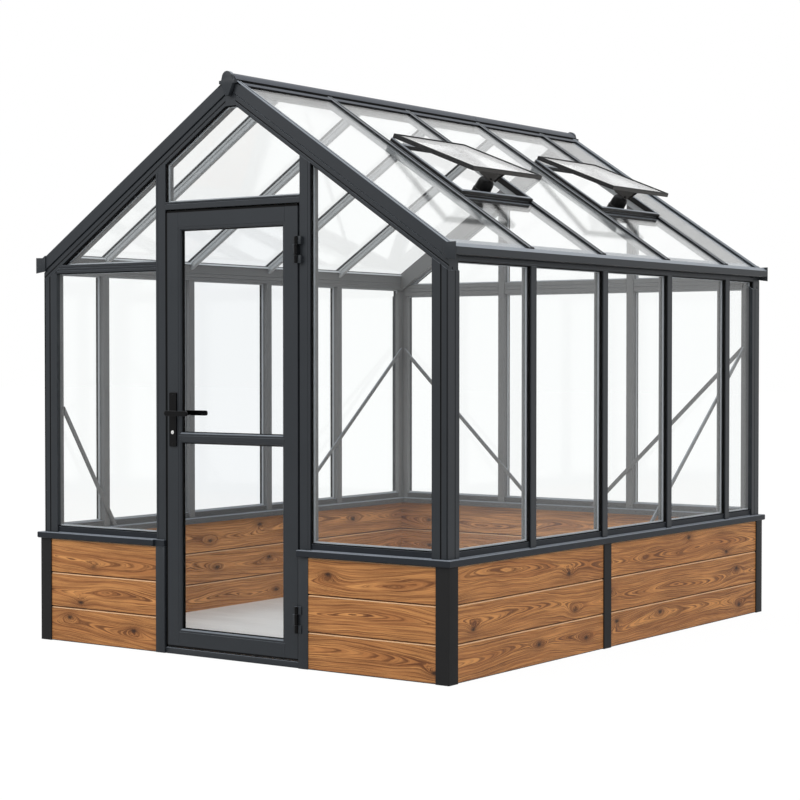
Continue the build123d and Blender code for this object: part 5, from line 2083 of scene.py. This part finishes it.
    def lever(self) -> None:
        """Make the lever handles of both faces on their spindle."""
        low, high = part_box("door_lever")
        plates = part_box("handle_plates")
        half, thick = (high.z - low.z) / 2, self.lever_thickness
        hub, bend = low.x + half, half * self.lever_round
        tip, rise = high.x - bend, half - bend
        shape = [
            *arc((hub, self.turn), half, 90, 270, 10), *arc((tip, self.turn - rise), bend, 270, 360),
            *arc((tip, self.turn + rise), bend, 0, 90),
        ]
        draft = Draft()
        for outer, plate, (_, outward) in zip((low.y, high.y), plates, self.faces):
            draft.slab(shape, Place(Vector((0, outer, 0)), X_AXIS, Z_AXIS, -outward), 0.0, thick)
            length = abs(outer - plate.y) - thick
            profile = [*self.neck, *[(length - back, radius) for back, radius in self.neck_end]]
            neck = Place(Vector((hub, plate.y, self.turn)), X_AXIS, Z_AXIS, outward)
            draft.lathe(neck, profile, self.neck_sides)
        ends = [Vector((hub, plate.y, self.turn)) for plate in plates]
        draft.rod(*ends, self.spindle)
        black = self.finishes.black
        draft.make("lever_handles", black, Slot.FITTINGS, ["door_lever"], Body.LEVER, bevel=0.002)


@dataclass
class Studio:
    """White floor, soft lights and the camera."""

    eye: tuple[float, float, float] = (5.934, -8.461, 1.398)
    turn: float = math.radians(35.62)
    tilt: float = math.radians(-1.26)
    lens: float = 89.38
    view_end: float = 200.0
    fill: float = 0.78
    aim_height: float = 1.2
    floor_half: float = 60.0
    floor_drop: float = 0.0005
    floor_grey: float = 0.55
    floor_white: float = 0.9
    glow: float = 1.07

    def build(self) -> None:
        """Set up the view, the world, the lamps and the floor."""
        scene = bpy.context.scene
        scene.view_settings.view_transform = "Standard"
        data = bpy.data.cameras.new("camera")
        data.lens = self.lens
        data.clip_end = self.view_end
        camera = bpy.data.objects.new("camera", data)
        camera.location = self.eye
        camera.rotation_euler = (math.pi / 2 + self.tilt, 0, self.turn)
        scene.collection.objects.link(camera)
        scene.camera = camera
        self.world(scene)
        self.lamp("key_light", (-4.5, -8.0, 6.5), size=5.0, power=200.0)
        self.lamp("side_light", (7.5, -1.5, 5.0), size=5.0, power=110.0)
        self.lamp("top_light", (-0.5, -4.6, 4.6), size=3.0, power=45.0)
        self.floor()

    @staticmethod
    def white_rays(graph: Graph) -> Field:
        """Pick the rays that meet pure white.

        Args:
            graph: The graph of the surface or world.

        Returns:
            1 for camera, mirror and see-through rays, and 0 for the others.
        """
        path = graph.node("ShaderNodeLightPath")
        total = path["Is Camera Ray"] + path["Is Glossy Ray"] + path["Is Transmission Ray"]
        return total.maths("MINIMUM", 1.0)

    def world(self, scene: bpy.types.Scene) -> None:
        """Light the scene from all round, and show white behind it.

        Args:
            scene: The scene.
        """
        scene.world = bpy.data.worlds.new("studio")
        graph = Graph(scene.world, "ShaderNodeOutputWorld")
        soft, white = (
            graph.node("ShaderNodeBackground", None, {"Color": WHITE, "Strength": strength})["Background"]
            for strength in (self.fill, 1.0)
        )
        graph.finish(graph.mixed(self.white_rays(graph), soft, white))

    def lamp(self, name: str, place: tuple[float, float, float], size: float, power: float) -> None:
        """Add a square soft light that points at the house.

        Args:
            name: Its name.
            place: Where it stands.
            size: Its side.
            power: Its power in watts.
        """
        data = bpy.data.lights.new(name, "AREA")
        data.size = size
        data.energy = power
        light = bpy.data.objects.new(name, data)
        light.location = place
        aim = Vector((0, 0, self.aim_height)) - Vector(place)
        light.rotation_euler = aim.to_track_quat("-Z", "Y").to_euler()
        bpy.context.scene.collection.objects.link(light)

    def floor(self) -> None:
        """Lay the plain floor, white to the camera and faintly shaded near the house."""
        material = bpy.data.materials.new("studio_floor")
        graph = Graph(material, "ShaderNodeOutputMaterial")
        grey = (self.floor_grey, self.floor_grey, self.floor_grey, 1.0)
        matt = graph.node("ShaderNodeBsdfDiffuse", None, {"Color": grey})["BSDF"]
        glow = graph.node("ShaderNodeEmission", None, {"Color": WHITE, "Strength": self.glow})["Emission"]
        graph.finish(graph.mixed(self.white_rays(graph) * self.floor_white, matt, glow))
        mesh = bpy.data.meshes.new("studio_floor")
        reach = self.floor_half
        mesh.from_pydata([(x, y, 0) for x, y in oblong(-reach, reach, -reach, reach)], [], [(0, 1, 2, 3)])
        mesh.materials.append(material)
        floor = bpy.data.objects.new("studio_floor", mesh)
        floor.location.z = -self.floor_drop
        bpy.context.scene.collection.objects.link(floor)


def main() -> None:
    """Build every assembly in order."""
    logging.basicConfig(level=logging.INFO, format="%(name)s %(message)s")
    house = House()
    finishes = Finishes.mixed(house.shell())
    for assembly in (TimberBase, WallFrame, Roof, Vents, Glazing, Door):
        assembly(house, finishes).build()
    Studio().build()


if __name__ == "__main__":
    main()
